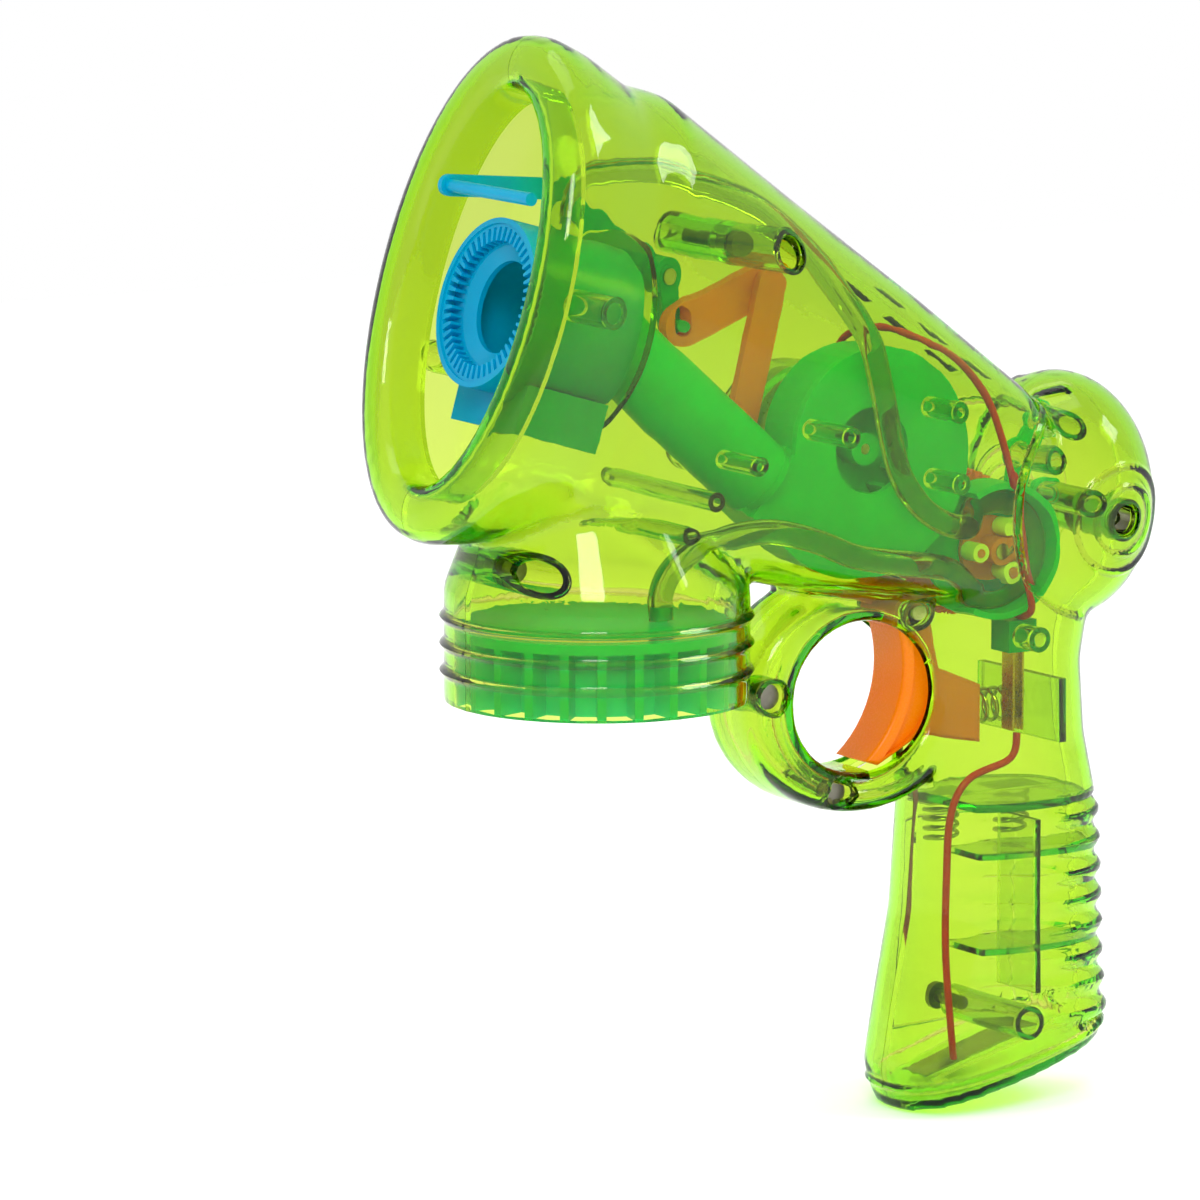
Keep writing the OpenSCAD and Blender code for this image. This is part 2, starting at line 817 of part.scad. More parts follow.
function unit(v) = v / norm(v);
function spline(p, i, t) =
  let (
    n = len(p) - 1,
    a = p[max(i - 1, 0)],
    b = p[i],
    c = p[min(i + 1, n)],
    d = p[min(i + 2, n)]
  )
  0.5 * (2 * b + (c - a) * t + (2 * a - 5 * b + 4 * c - d) * t * t + (3 * b - a - 3 * c + d) * t * t * t);
function smooth_route(p, steps) = concat(
  [for (i = [0:len(p) - 2], k = [0:steps - 1]) spline(p, i, k / steps)],
  [p[len(p) - 1]]
);
function tangent(p, i) = unit(p[min(i + 1, len(p) - 1)] - p[max(i - 1, 0)]);
function side_step(normal, t) = unit(normal - (normal * t) * t);
function frames(p, i, normal) =
  let (now = side_step(normal, tangent(p, i)))
  i == len(p) - 1 ? [now] : concat([now], frames(p, i + 1, now));
function tube_ring(p, i, normal, r, sides) =
  let (t = tangent(p, i), other = cross(t, normal))
  [for (k = [0:sides - 1]) p[i] + r * (cos(360 * k / sides) * normal + sin(360 * k / sides) * other)];

// A round tube swept along points; a bore above zero makes it hollow
module tube(p, r, bore, sides, normal = [0, 1, 0]) {
  n = len(p);
  normals = frames(p, 0, normal);
  outer = [for (i = [0:n - 1]) each tube_ring(p, i, normals[i], r, sides)];
  inner = bore > 0 ? [for (i = [0:n - 1]) each tube_ring(p, i, normals[i], bore, sides)] : [];
  skin = skin_faces(n, sides);
  shift = n * sides;
  last = (n - 1) * sides;
  lining = [for (f = skin) [f[2] + shift, f[1] + shift, f[0] + shift]];
  rims = [
    for (k = [0:sides - 1])
      let (a = k, b = (k + 1) % sides)
      each [
        [a, b, b + shift], [a, b + shift, a + shift],
        [last + b, last + a, last + a + shift], [last + b, last + a + shift, last + b + shift]
      ]
  ];
  solid = concat(skin, cap_faces(n, sides));
  polyhedron(concat(outer, inner), bore > 0 ? concat(skin, lining, rims) : solid);
}

pump_loop = [
  for (a = [300:-12:60])
    [pump[0] + hose_path_r * cos(a), hose_mid_y, pump[1] + hose_path_r * sin(a)]
];

// One unbroken hose: collar, round the pump rotor, then up to the bubble ring
module solution_hose() {
  color("palegreen") tube(
    concat(
      smooth_route(concat(suction_route, [pump_loop[0]]), 2),
      [for (i = [1:len(pump_loop) - 2]) pump_loop[i]],
      smooth_route(concat([pump_loop[len(pump_loop) - 1]], delivery_route), 2)
    ),
    hose_r, hose_bore_r, hose_sides
  );
}

module battery_lead() {
  color("red") tube(smooth_route(battery_lead_route, 3), wire_r, 0, coil_sides);
}

module motor_lead() {
  color("red") tube(smooth_route(motor_lead_route, 3), wire_r, 0, coil_sides);
}

module air_duct() {
  reach = 60;
  color("teal") difference() {
    at_duct(outlet_len + 0.1) cylinder(r = duct_r, h = reach);
    at_duct(outlet_len - 1) cylinder(r = duct_r - fan_wall, h = reach + 2);
    at_bell(drum_front_d + drum_len + 0.1) translate([-60, -40, 0]) cube([120, 80, 60]);
  }
}

// Drum that carries the bubble ring, with a drip cup below
module ring_drum() {
  cup = [9, 22, drum_len - 1];
  color("teal") difference() {
    union() {
      at_bell(drum_front_d + drum_len, ring_mid_h) cylinder(r = drum_r, h = drum_len);
      at_bell(drum_front_d + drum_len, ring_mid_h) translate([drum_r - 3, -cup[1] / 2, 0.5])
        cube([cup[0], cup[1], cup[2]]);
      at_bell(spigot_d, ring_mid_h) rotate([0, -90, 0]) cylinder(r = hose_fit_r, h = drum_r + 2.6);
    }
    at_bell(drum_front_d + drum_len - drum_wall, ring_mid_h) cylinder(r = drum_r - drum_wall, h = drum_len);
    at_bell(drum_front_d + drum_len, ring_mid_h)
      translate([drum_r - 5, -cup[1] / 2 + drum_wall, 0.5 + drum_wall])
      cube([cup[0] + 2 - drum_wall, cup[1] - 2 * drum_wall, cup[2] - 2 * drum_wall]);
    at_duct(outlet_len) cylinder(r = duct_r - fan_wall - 0.6, h = 70);
  }
}

// Clear disc that closes the drum's back round the duct
module drum_backing() {
  color("greenyellow") difference() {
    at_bell(drum_front_d + drum_len + backing_t + 0.1, ring_mid_h) cylinder(r = backing_r, h = backing_t);
    at_duct(outlet_len) cylinder(r = duct_r + seat_gap, h = 70);
  }
}

// Crown of capillary teeth round the ring's funnel
module ring_crown() {
  pitch = 360 / ring_teeth;
  difference() {
    circle(ring_r - 0.6);
    polygon([
      for (i = [0:ring_teeth - 1], k = [[0.05, 11.5], [0.4, 11.5], [0.5, 14], [0.95, 14]])
        k[1] * [cos((i + k[0]) * pitch), sin((i + k[0]) * pitch)]
    ]);
  }
}

module bubble_ring() {
  color("deepskyblue") at_bell(drum_front_d, ring_mid_h) {
    rotate_extrude() polygon([
      [ring_bore_r, 0], [ring_r, 0], [ring_r, ring_len], [ring_r - 1, ring_len],
      [ring_r - 1, 2.8], [11, 2.2], [ring_bore_r, 1]
    ]);
    translate([0, 0, 2]) linear_extrude(ring_len - 2.4) ring_crown();
  }
}

module bottle_collar() {
  outer = skirt_r - wall - seat_gap;
  tube_wall = 1.6;
  color("teal") difference() {
    union() {
      translate([0, 0, neck_depth]) cylinder(r = outer, h = collar_top - neck_depth);
      linear_extrude(neck_depth + 0.5) {
        difference() {
          circle(neck_r + tube_wall);
          circle(neck_r);
        }
        for (i = [0:slat_count - 1]) {
          rotate(360 * i / slat_count) translate([neck_r + tube_wall - 0.4, -0.8])
            square([outer - neck_r - tube_wall + 0.3, 1.6]);
        }
      }
      translate([spigot[0], spigot[1], collar_top - 0.5]) cylinder(r = hose_fit_r, h = 3.2);
    }
    translate([spigot[0], spigot[1], neck_depth - 1]) cylinder(r = 0.7, h = 10);
  }
}

module trigger() {
  guard_gap_r = guard_hole[0] + wall + 0.6;
  color("darkorange") difference() {
    union() {
      across([-trigger_half, trigger_half]) {
        difference() {
          polygon([
            [-68.5, 13.5], [-62, 13.5], [-57, 2], [-53.5, -14], [-55, -17], [-58.5, -17.6],
            [-68, -12.5], [trigger_back_x, -15], [trigger_back_x, -4], [-72, 0]
          ]);
          translate([-42, 1]) circle(finger_r);
        }
        translate(trigger_pivot) circle(trigger_eye_r);
      }
      across(arm_y) difference() {
        strip(trigger_pivot, trigger_peg, 5);
        translate(guard) circle(guard_gap_r);
        translate(swung(guard, trigger_pivot, -trigger_swing)) circle(guard_gap_r);
      }
      bar(trigger_peg, peg_r, [lever_y[0] - 0.2, arm_y[1]]);
    }
    bar(trigger_pivot, pin_r + run_gap, [-20, 20]);
    for (side = [-1, 1]) {
      across(side > 0 ? [trigger_half - 1.5, 9] : [-9, 1.5 - trigger_half]) difference() {
        translate([-66.5, -5]) circle(6);
        translate([-71.5, -4]) circle(7);
      }
    }
  }
}

module trigger_pin() {
  color("gainsboro") bar(trigger_pivot, pin_r, [-trigger_half - 2.6, trigger_half + 2.6]);
}

function coil(r, turns, length, dead) = [
  for (i = [0:turns * 8])
    let (t = i / (turns * 8), a = 360 * turns * t)
    [r * cos(a), r * sin(a), dead + (length - 2 * dead) * t]
];
// Least gap between a coil's wire and its next curl, measured on the points
function coil_gap(p) =
  min([for (i = [0:len(p) - 6], j = [i + 5:len(p) - 1]) norm(p[i] - p[j])]) - 2 * spring_wire_r;

trigger_coil = coil(spring_r, spring_turns, trigger_back_x - spring_seat_x - 0.2, spring_wire_r);
battery_coil = coil(spring_r, 4, 8, spring_wire_r);
echo(trigger_coil_gap = coil_gap(trigger_coil), battery_coil_gap = coil_gap(battery_coil));

module trigger_spring() {
  color("silver") translate([spring_seat_x + 0.1, 0, spring_z]) rotate([0, 90, 0])
    tube(trigger_coil, spring_wire_r, 0, coil_sides, [0, 0, 1]);
}

module push_lever() {
  down = unit(trigger_peg - lever_pivot);
  fork_end = trigger_peg + 1.8 * down;
  slot_half = peg_r + link_play / 2;
  color("darkorange") difference() {
    union() {
      across(lever_y) difference() {
        union() {
          strip(lever_pivot, fork_end, 5);
          strip(lever_pivot, lever_top, 6);
          translate(lever_pivot) circle(4.4);
        }
        strip(trigger_peg - 1.4 * down, trigger_peg + 12 * down, 2 * slot_half);
      }
      bar(lever_top, peg_r, [link_y[0] - 0.2, lever_y[0] + 0.1]);
    }
    bar(lever_pivot, pin_r + run_gap, [-20, 20]);
  }
}

module lever_pin() {
  color("gainsboro") bar(lever_pivot, pin_r, [lever_y[0] - 6, lever_y[1] + 0.2]);
}

module wiper_link() {
  color("darkorange") across(link_y) difference() {
    strip(lever_top, wiper_tail, 7.6);
    strip(lever_top - [0, 1.9], lever_top + [0, 0.4], 2 * peg_r + link_play);
    strip(wiper_tail - [0, 0.4], wiper_tail + [0, 2.2], 2 * peg_r + link_play);
  }
}

// Arm that swings the wiping bar down across the ring's face
module wiper_arm() {
  tip = bell_point(wiper_d, wiper_h);
  sink = 0.25;
  color("teal") difference() {
    union() {
      across(wiper_y) {
        strip(wiper_pivot, wiper_elbow, 5);
        strip(wiper_elbow, tip, 4);
      }
      bar(wiper_pivot, pin_r + 2, [wiper_y[0] + sink, tail_y[1] - sink]);
      across(tail_y) strip(wiper_pivot, wiper_tail, 4.4);
      bar(wiper_tail, peg_r, [tail_y[0] + sink, link_y[1] + 0.2]);
      bar(tip, 1.2, [wiper_y[0] + sink, 12]);
    }
    bar(wiper_pivot, pin_r + run_gap, [-40, 20]);
  }
}

module wiper_pin() {
  color("gainsboro") bar(wiper_pivot, pin_r, [wiper_y[0] - 3.8, tail_y[1] + 0.6]);
}

module switch_block() {
  color("teal") difference() {
    translate([switch_post[0] - 3, 2.8, 2]) cube([6, 5.6, 6]);
    for (x = leaf_x) {
      translate([x - 0.05, leaf_y[0] - 0.05, 1]) cube([0.5, leaf_y[1] - leaf_y[0] + 0.1, 5]);
    }
  }
}

module switch_leaves() {
  color("goldenrod") for (x = leaf_x) {
    translate([x, leaf_y[0], leaf_bottom_z]) cube([0.4, leaf_y[1] - leaf_y[0], 18.9]);
  }
}

module battery_door() {
  color("greenyellow") difference() {
    intersection() {
      difference() {
        grip_form(0);
        grip_form(wall);
      }
      door_block(0);
    }
    bar(door_screw_at, screw_r + seat_gap, [-40, 0]);
    bar(door_screw_at, door_head_r + seat_gap, [-40, door_seat_y]);
  }
}

module door_screw() {
  color("dimgray") {
    bar(door_screw_at, screw_r, [door_seat_y - 1, -6]);
    bar(door_screw_at, door_head_r, [door_seat_y - 2, door_seat_y - 0.05]);
  }
}

module battery_contacts() {
  plate = [10, 8, 0.4];
  color("silver") {
    for (x = cell_x) {
      translate([x - plate[0] / 2, cell_y - plate[1] / 2, shelf_z - plate[2] - 0.1]) cube(plate);
    }
    translate([-87, cell_y, -76.1]) rotate([0, base_tilt, 0]) translate([-13.5, -plate[1] / 2, 0])
      cube([27, plate[1], plate[2]]);
  }
}

module battery_springs() {
  color("silver") for (x = cell_x) {
    translate([x, cell_y, shelf_z - 0.6]) rotate([180, 0, 0])
      tube(battery_coil, spring_wire_r, 0, coil_sides, [0, 0, 1]);
  }
}

module case_screws() {
  color("dimgray") for (p = screw_spots) {
    bar(p, screw_r, [-11, head_y]);
    bar(p, well_r - head_gap, [head_y, head_y + 2]);
  }
}

left_shell();
right_shell();
bottle_collar();
bubble_ring();
ring_drum();
drum_backing();
air_duct();
fan_housing();
fan_cover();
impeller();
motor();
motor_shaft();
motor_pinion();
idler_gear();
idler_pin();
pump_gear();
pump_shaft();
pump_rotor();
pump_rollers();
pump_housing();
gear_plate();
solution_hose();
trigger();
trigger_pin();
trigger_spring();
push_lever();
lever_pin();
wiper_link();
wiper_arm();
wiper_pin();
switch_block();
switch_leaves();
battery_door();
door_screw();
battery_contacts();
battery_springs();
battery_lead();
motor_lead();
case_screws();
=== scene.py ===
# %% [markdown]
# Bubble gun in clear lime plastic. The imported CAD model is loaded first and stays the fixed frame.
# Every new piece is built in millimetres, scaled to metres and left at the origin, so its place is in
# its mesh, just as it is for the CAD nodes.

# %% Load the frame
import json
import math

import bmesh
import bpy
from mathutils import Matrix, Vector
from mathutils.bvhtree import BVHTree

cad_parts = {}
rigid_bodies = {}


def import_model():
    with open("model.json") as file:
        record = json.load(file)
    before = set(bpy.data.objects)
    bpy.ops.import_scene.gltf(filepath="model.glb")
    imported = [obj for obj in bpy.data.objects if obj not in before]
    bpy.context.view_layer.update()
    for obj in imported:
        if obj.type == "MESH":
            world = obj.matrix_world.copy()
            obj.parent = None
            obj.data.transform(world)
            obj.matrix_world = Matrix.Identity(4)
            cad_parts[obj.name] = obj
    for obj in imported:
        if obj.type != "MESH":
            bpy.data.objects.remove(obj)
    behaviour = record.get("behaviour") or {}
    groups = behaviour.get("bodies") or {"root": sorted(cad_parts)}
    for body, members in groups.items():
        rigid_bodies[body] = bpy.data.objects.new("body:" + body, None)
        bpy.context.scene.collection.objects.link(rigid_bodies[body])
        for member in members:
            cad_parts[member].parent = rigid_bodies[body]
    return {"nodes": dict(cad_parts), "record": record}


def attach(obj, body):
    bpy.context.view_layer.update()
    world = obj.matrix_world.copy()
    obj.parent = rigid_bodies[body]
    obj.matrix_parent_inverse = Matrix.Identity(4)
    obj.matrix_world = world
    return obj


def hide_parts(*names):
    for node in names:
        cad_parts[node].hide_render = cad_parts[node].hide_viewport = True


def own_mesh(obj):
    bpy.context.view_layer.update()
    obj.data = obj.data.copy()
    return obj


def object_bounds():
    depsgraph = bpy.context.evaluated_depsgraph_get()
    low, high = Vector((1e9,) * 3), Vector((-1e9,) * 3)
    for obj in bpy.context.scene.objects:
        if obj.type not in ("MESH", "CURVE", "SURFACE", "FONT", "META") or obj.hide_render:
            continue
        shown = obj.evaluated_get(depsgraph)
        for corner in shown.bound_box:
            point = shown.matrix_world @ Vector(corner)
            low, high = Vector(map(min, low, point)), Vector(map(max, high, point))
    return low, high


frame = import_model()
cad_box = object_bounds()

MM = 0.001
print("CAD box in mm:", [[round(c / MM, 1) for c in corner] for corner in cad_box])

# %% [markdown]
# The camera looks at the gun from its front left, a little above the mouth. A long lens keeps the
# perspective as mild as in a product picture. The aim point is the middle of the picture, and the gun
# stands in the right half of it.

# %% Camera
AZIMUTH = math.radians(148)
ELEVATION = math.radians(9)
AIM = Vector((-0.9, -0.4, 17.9)) * MM
DISTANCE = 1.5  # metres
LENS, SENSOR = 247.0, 36.0  # millimetres

towards_camera = Vector((
    math.sin(AZIMUTH) * math.cos(ELEVATION), -math.cos(AZIMUTH) * math.cos(ELEVATION), math.sin(ELEVATION)))
camera = bpy.data.objects.new("camera", bpy.data.cameras.new("camera"))
bpy.context.scene.collection.objects.link(camera)
camera.data.lens = LENS
camera.data.sensor_width = SENSOR
camera.data.clip_start = 0.01
camera.location = AIM + towards_camera * DISTANCE
camera.rotation_euler = (-towards_camera).to_track_quat("-Z", "Y").to_euler()
bpy.context.scene.camera = camera
print("camera at", [round(c, 3) for c in camera.location])

# %% [markdown]
# One function turns the sRGB hex colours to the linear values that shaders use, and one adds a node to
# a tree. A setting is an attribute of the node, and an input is either a value or another node's output.

# %% Colour and node helpers
def linear(hex_code):
    """Linear RGBA of an sRGB hex colour such as FF8800."""
    channels = [int(hex_code[i:i + 2], 16) / 255 for i in (0, 2, 4)]
    return [c / 12.92 if c <= 0.04045 else ((c + 0.055) / 1.055) ** 2.4 for c in channels] + [1.0]


def add_node(tree, kind, inputs=None, **settings):
    """Adds one node with its settings and links."""
    node = tree.nodes.new(kind)
    for name, value in settings.items():
        setattr(node, name, value)
    for name, value in (inputs or {}).items():
        if isinstance(value, bpy.types.NodeSocket):
            tree.links.new(value, node.inputs[name])
        else:
            node.inputs[name].default_value = value
    return node


# %% [markdown]
# The background is white paper. The world is white to the camera and to rays that come through or off
# the plastic, so that the clear walls show white behind them too. As a light it is a little dimmer, which
# leaves the lamps room to model the shapes.

# %% World
WHITE = linear("FFFFFF")
FILL = 0.95
bpy.context.scene.view_settings.view_transform = "Standard"
world = bpy.data.worlds.new("studio")
bpy.context.scene.world = world
world.use_nodes = True
tree = world.node_tree
tree.nodes.clear()
path = add_node(tree, "ShaderNodeLightPath")
seen = add_node(tree, "ShaderNodeMath", {0: path.outputs["Is Camera Ray"], 1: path.outputs["Is Glossy Ray"]},
                operation="ADD")
seen = add_node(tree, "ShaderNodeMath", {0: seen.outputs[0], 1: path.outputs["Is Transmission Ray"]},
                operation="ADD", use_clamp=True)
white = add_node(tree, "ShaderNodeBackground", {"Color": WHITE, "Strength": 1.0})
fill = add_node(tree, "ShaderNodeBackground", {"Color": WHITE, "Strength": FILL})
paper = add_node(tree, "ShaderNodeMixShader", {0: seen.outputs[0], 1: fill.outputs[0], 2: white.outputs[0]})
add_node(tree, "ShaderNodeOutputWorld", {"Surface": paper.outputs[0]})
print("world fills at", FILL)

# %% [markdown]
# The floor is a pale sheet just under the grip that takes the gun's shadow. It belongs to the stage, so it
# is kept out of the model. Its paper is matt, with a fine grit.

# %% Floor
FLOOR_HALF, FLOOR_DROP = 1.2, 0.0002  # metres
floor_bm = bmesh.new()
bmesh.ops.create_grid(floor_bm, x_segments=1, y_segments=1, size=FLOOR_HALF)
bmesh.ops.translate(floor_bm, vec=(0, 0, cad_box[0].z - FLOOR_DROP), verts=floor_bm.verts)
floor_mesh = bpy.data.meshes.new("floor")
floor_bm.to_mesh(floor_mesh)
floor_bm.free()
floor = bpy.data.objects.new("floor", floor_mesh)
bpy.context.scene.collection.objects.link(floor)
paper_sheet = bpy.data.materials.new("paper_sheet")
paper_sheet.use_nodes = True
tree = paper_sheet.node_tree
tree.nodes.clear()
grit = add_node(tree, "ShaderNodeTexNoise", {"Scale": 900.0, "Detail": 2.0})  # 900 grains along the sheet
diffuse = add_node(tree, "ShaderNodeBsdfDiffuse", {"Color": (0.97, 0.97, 0.97, 1)})
bump = add_node(tree, "ShaderNodeBump", {"Strength": 0.02, "Height": grit.outputs["Fac"]})
tree.links.new(bump.outputs["Normal"], diffuse.inputs["Normal"])
add_node(tree, "ShaderNodeOutputMaterial", {"Surface": diffuse.outputs[0]})
floor.data.materials.append(paper_sheet)
print("floor at", round((cad_box[0].z - FLOOR_DROP) / MM, 1), "mm")

# %% [markdown]
# Three soft area lamps aim at the gun: a key from the camera's side, a rim from behind that draws bright
# edges on the plastic, and a wide one from above.

# %% Lamps
LAMPS = {  # name: place in metres, size in metres, watts
    "key": ((0.75, 1.1, 1.0), 0.5, 11),
    "rim": ((-0.9, 0.5, 0.9), 0.4, 5),
    "top": ((0.0, -0.2, 1.4), 0.9, 5),
}
for name, (place, size, watts) in LAMPS.items():
    lamp = bpy.data.objects.new(name, bpy.data.lights.new(name, "AREA"))
    lamp.data.size = size
    lamp.data.energy = watts
    lamp.location = place
    lamp.rotation_euler = Vector(place).to_track_quat("Z", "Y").to_euler()
    bpy.context.scene.collection.objects.link(lamp)
print("lamps:", ", ".join(LAMPS))

# %% [markdown]
# The case is injection-moulded clear polystyrene with a lime dye. It is glossy, faintly wavy from the
# mould, and it is the thickness of dyed plastic that colours it: a single 2 mm wall is yellow, and a
# wall seen edge on is green. So the skin only dims the light a little, and the colour is an absorbing
# volume. Lamp light passes the walls unbent, as it does through walls this thin, to light the inside.

# %% Clear plastics
DARKEST = 0.002  # keeps the logarithm of a colour finite


def clear_plastic(name, skin_colour, wall_colour, wall_mm, ior, roughness, wave_mm, wave_height_mm):
    """Dyed clear plastic; its skin and its dye each give a hex colour to white light through one wall."""
    material = bpy.data.materials.new(name)
    material.use_nodes = True
    tree = material.node_tree
    tree.nodes.clear()
    place = add_node(tree, "ShaderNodeTexCoord")
    waves = add_node(tree, "ShaderNodeTexNoise",
                     {"Vector": place.outputs["Object"], "Scale": 1 / (wave_mm * MM), "Detail": 1.0})
    bump = add_node(tree, "ShaderNodeBump",
                    {"Strength": 1.0, "Distance": wave_height_mm * MM, "Height": waves.outputs["Fac"]})
    surface = add_node(tree, "ShaderNodeBsdfPrincipled", {
        "Base Color": linear(skin_colour), "Roughness": roughness, "IOR": ior, "Transmission Weight": 1.0,
        "Normal": bump.outputs["Normal"]})
    path = add_node(tree, "ShaderNodeLightPath")
    unbent = add_node(tree, "ShaderNodeBsdfTransparent", {"Color": WHITE})
    surface = add_node(tree, "ShaderNodeMixShader",
                       {0: path.outputs["Is Shadow Ray"], 1: surface.outputs[0], 2: unbent.outputs[0]})
    per_metre = [-math.log(max(c, DARKEST)) / (wall_mm * MM) for c in linear(wall_colour)[:3]]
    density = max(per_metre) * 1.01  # a little above the most, so that no colour below is quite 0
    dye = add_node(tree, "ShaderNodeVolumeAbsorption", {
        "Color": [1 - c / density for c in per_metre] + [1.0], "Density": density})
    add_node(tree, "ShaderNodeOutputMaterial", {"Surface": surface.outputs[0], "Volume": dye.outputs[0]})
    return material


lime_styrene = clear_plastic("lime_styrene", "F5EBEA", "DCFA78", 2.0, 1.34, 0.03, 9.0, 0.05)
clear_vinyl = clear_plastic("clear_vinyl", "FAFBF6", "F2F6E8", 0.8, 1.36, 0.08, 3.0, 0.03)
print("clear plastics:", lime_styrene.name, clear_vinyl.name)

# %% [markdown]
# The inner pieces are dyed plastic too, blue or orange, but cloudy: they shine on their skin and let
# part of the light through from behind. Metals and nylon only shine. All of them show faint marks a few
# millimetres wide and a fine grain, so both colour and roughness vary a little.

# %% Cloudy plastics and metals
def dyed_finish(name, colour, dark, roughness, metallic=0.0, cloudy=0.0, mark_mm=6.0, grain_mm=0.4):
    """Moulded plastic or plated metal; cloudy is the share of light that it lets through from behind."""
    material = bpy.data.materials.new(name)
    material.use_nodes = True
    tree = material.node_tree
    tree.nodes.clear()
    place = add_node(tree, "ShaderNodeTexCoord")
    marks = add_node(tree, "ShaderNodeTexNoise",
                     {"Vector": place.outputs["Object"], "Scale": 1 / (mark_mm * MM), "Detail": 2.0})
    grain = add_node(tree, "ShaderNodeTexNoise",
                     {"Vector": place.outputs["Object"], "Scale": 1 / (grain_mm * MM), "Detail": 3.0})
    tint = add_node(tree, "ShaderNodeMix", {0: marks.outputs["Fac"], 6: linear(dark), 7: linear(colour)},
                    data_type="RGBA")
    gloss = add_node(tree, "ShaderNodeMapRange", {
        "Value": grain.outputs["Fac"], "From Min": 0.3, "From Max": 0.7,
        "To Min": roughness * 0.8, "To Max": roughness * 1.25})
    bump = add_node(tree, "ShaderNodeBump",
                    {"Strength": 0.3, "Distance": 0.02 * MM, "Height": grain.outputs["Fac"]})
    surface = add_node(tree, "ShaderNodeBsdfPrincipled", {
        "Base Color": tint.outputs[2], "Roughness": gloss.outputs[0], "Metallic": metallic,
        "Specular IOR Level": 0.3, "Normal": bump.outputs["Normal"]})
    if cloudy:
        behind = add_node(tree, "ShaderNodeBsdfTranslucent", {"Color": tint.outputs[2]})
        surface = add_node(tree, "ShaderNodeMixShader", {0: cloudy, 1: surface.outputs[0], 2: behind.outputs[0]})
    add_node(tree, "ShaderNodeOutputMaterial", {"Surface": surface.outputs[0]})
    return material


# Moulded styrene and ABS: a smooth gloss, and a glow of their own dye where light stands behind them
blue_styrene = dyed_finish("blue_styrene", "00C0E8", "00ACDA", 0.22, cloudy=0.45)
# A paler copy of the blue for the works inside the case: painted light, brightened to make up for the shade that
# the lime walls cast on them
brightened_blue_styrene = dyed_finish("brightened_blue_styrene", "00E0EA", "00CCDC", 0.22, cloudy=0.45)
orange_abs = dyed_finish("orange_abs", "FF9808", "FF8802", 0.26, cloudy=0.4, mark_mm=9.0)
# Moulded nylon and soft PVC: even colours with a dull shine
white_nylon = dyed_finish("white_nylon", "EFEDE4", "DEDCD0", 0.45)
red_insulation = dyed_finish("red_insulation", "D22A14", "B41C0C", 0.35, mark_mm=4.0)
# Plated steel, rolled brass and blackened screws: metal shines that are blurred by drawing and plating
plated_can = dyed_finish("plated_can", "B8BABC", "96989A", 0.30, metallic=1.0)
bright_steel = dyed_finish("bright_steel", "C6C8CA", "A4A6A8", 0.22, metallic=1.0, mark_mm=3.0)
sprung_brass = dyed_finish("sprung_brass", "D2A850", "B08838", 0.28, metallic=1.0, mark_mm=3.0)
black_steel = dyed_finish("black_steel", "8A877A", "66635A", 0.35, metallic=1.0, mark_mm=2.0)

FINISH_SLOT = {
    lime_styrene: "lime_shell", blue_styrene: "blue_inner", clear_vinyl: "clear_vinyl",
    orange_abs: "orange_plastic", white_nylon: "white_nylon", plated_can: "motor_can",
    bright_steel: "steel", sprung_brass: "brass", black_steel: "dark_screw", red_insulation: "red_wire",
}

# %% [markdown]
# CAD nodes whose shape is right stay, and take the finish of their slot in the record. The blue works
# behind the mouth take a paler, greener copy of the blue than the ring, the drum and the wiper: painted light that
# makes up for the shade that the lime case casts on them.

# %% Finishes on the CAD nodes
BRIGHTENED_BLUE = {
    "bottle_collar", "air_duct", "fan_housing", "fan_cover", "impeller", "pump_housing", "gear_plate",
}
slot_finish = {slot: finish for finish, slot in FINISH_SLOT.items()}
for subpart in frame["record"]["subparts"]:
    finish = brightened_blue_styrene if subpart["node"] in BRIGHTENED_BLUE else slot_finish[subpart["material_slot"]]
    for material_slot in frame["nodes"][subpart["node"]].material_slots:
        material_slot.material = finish

# %% [markdown]
# A loft is a row of rings joined by bridge_loops. Each ring starts as a unit circle and is pushed out to
# a squared oval, which is what the sections of the gun's body and grip are.

# %% Rings and lofts
def oval_ring(bm, middle, first, second, first_half, second_half, power=2.0, sides=72):
    """A ring of edges: an oval of the two half sizes along two directions, squarer as power rises."""
    verts = bmesh.ops.create_circle(bm, segments=sides, radius=1)["verts"]
    for vert in verts:
        c, s = vert.co.x, vert.co.y
        vert.co = (middle + first * first_half * math.copysign(abs(c) ** (2 / power), c)
                   + second * second_half * math.copysign(abs(s) ** (2 / power), s))
    return list(dict.fromkeys(edge for vert in verts for edge in vert.link_edges))


def loft(bm, rings, closed=False):
    """Joins the rings in order, and closes the run or caps its two ends."""
    pairs = list(zip(rings, rings[1:] + rings[:1] if closed else rings[1:]))
    for one, other in pairs:
        bmesh.ops.bridge_loops(bm, edges=one + other)
    if not closed:
        for end in (rings[0], rings[-1]):
            bmesh.ops.edgeloop_fill(bm, edges=end)


# %% [markdown]
# The case is one flowing form: a wide bell, a wedge of a body, a round back, a grip and a guard ring. A
# single loft can't branch like that, so each is made as a closed loft of its own, and they overlap. The
# bell comes first, with its rolled lip, and runs on into the body.

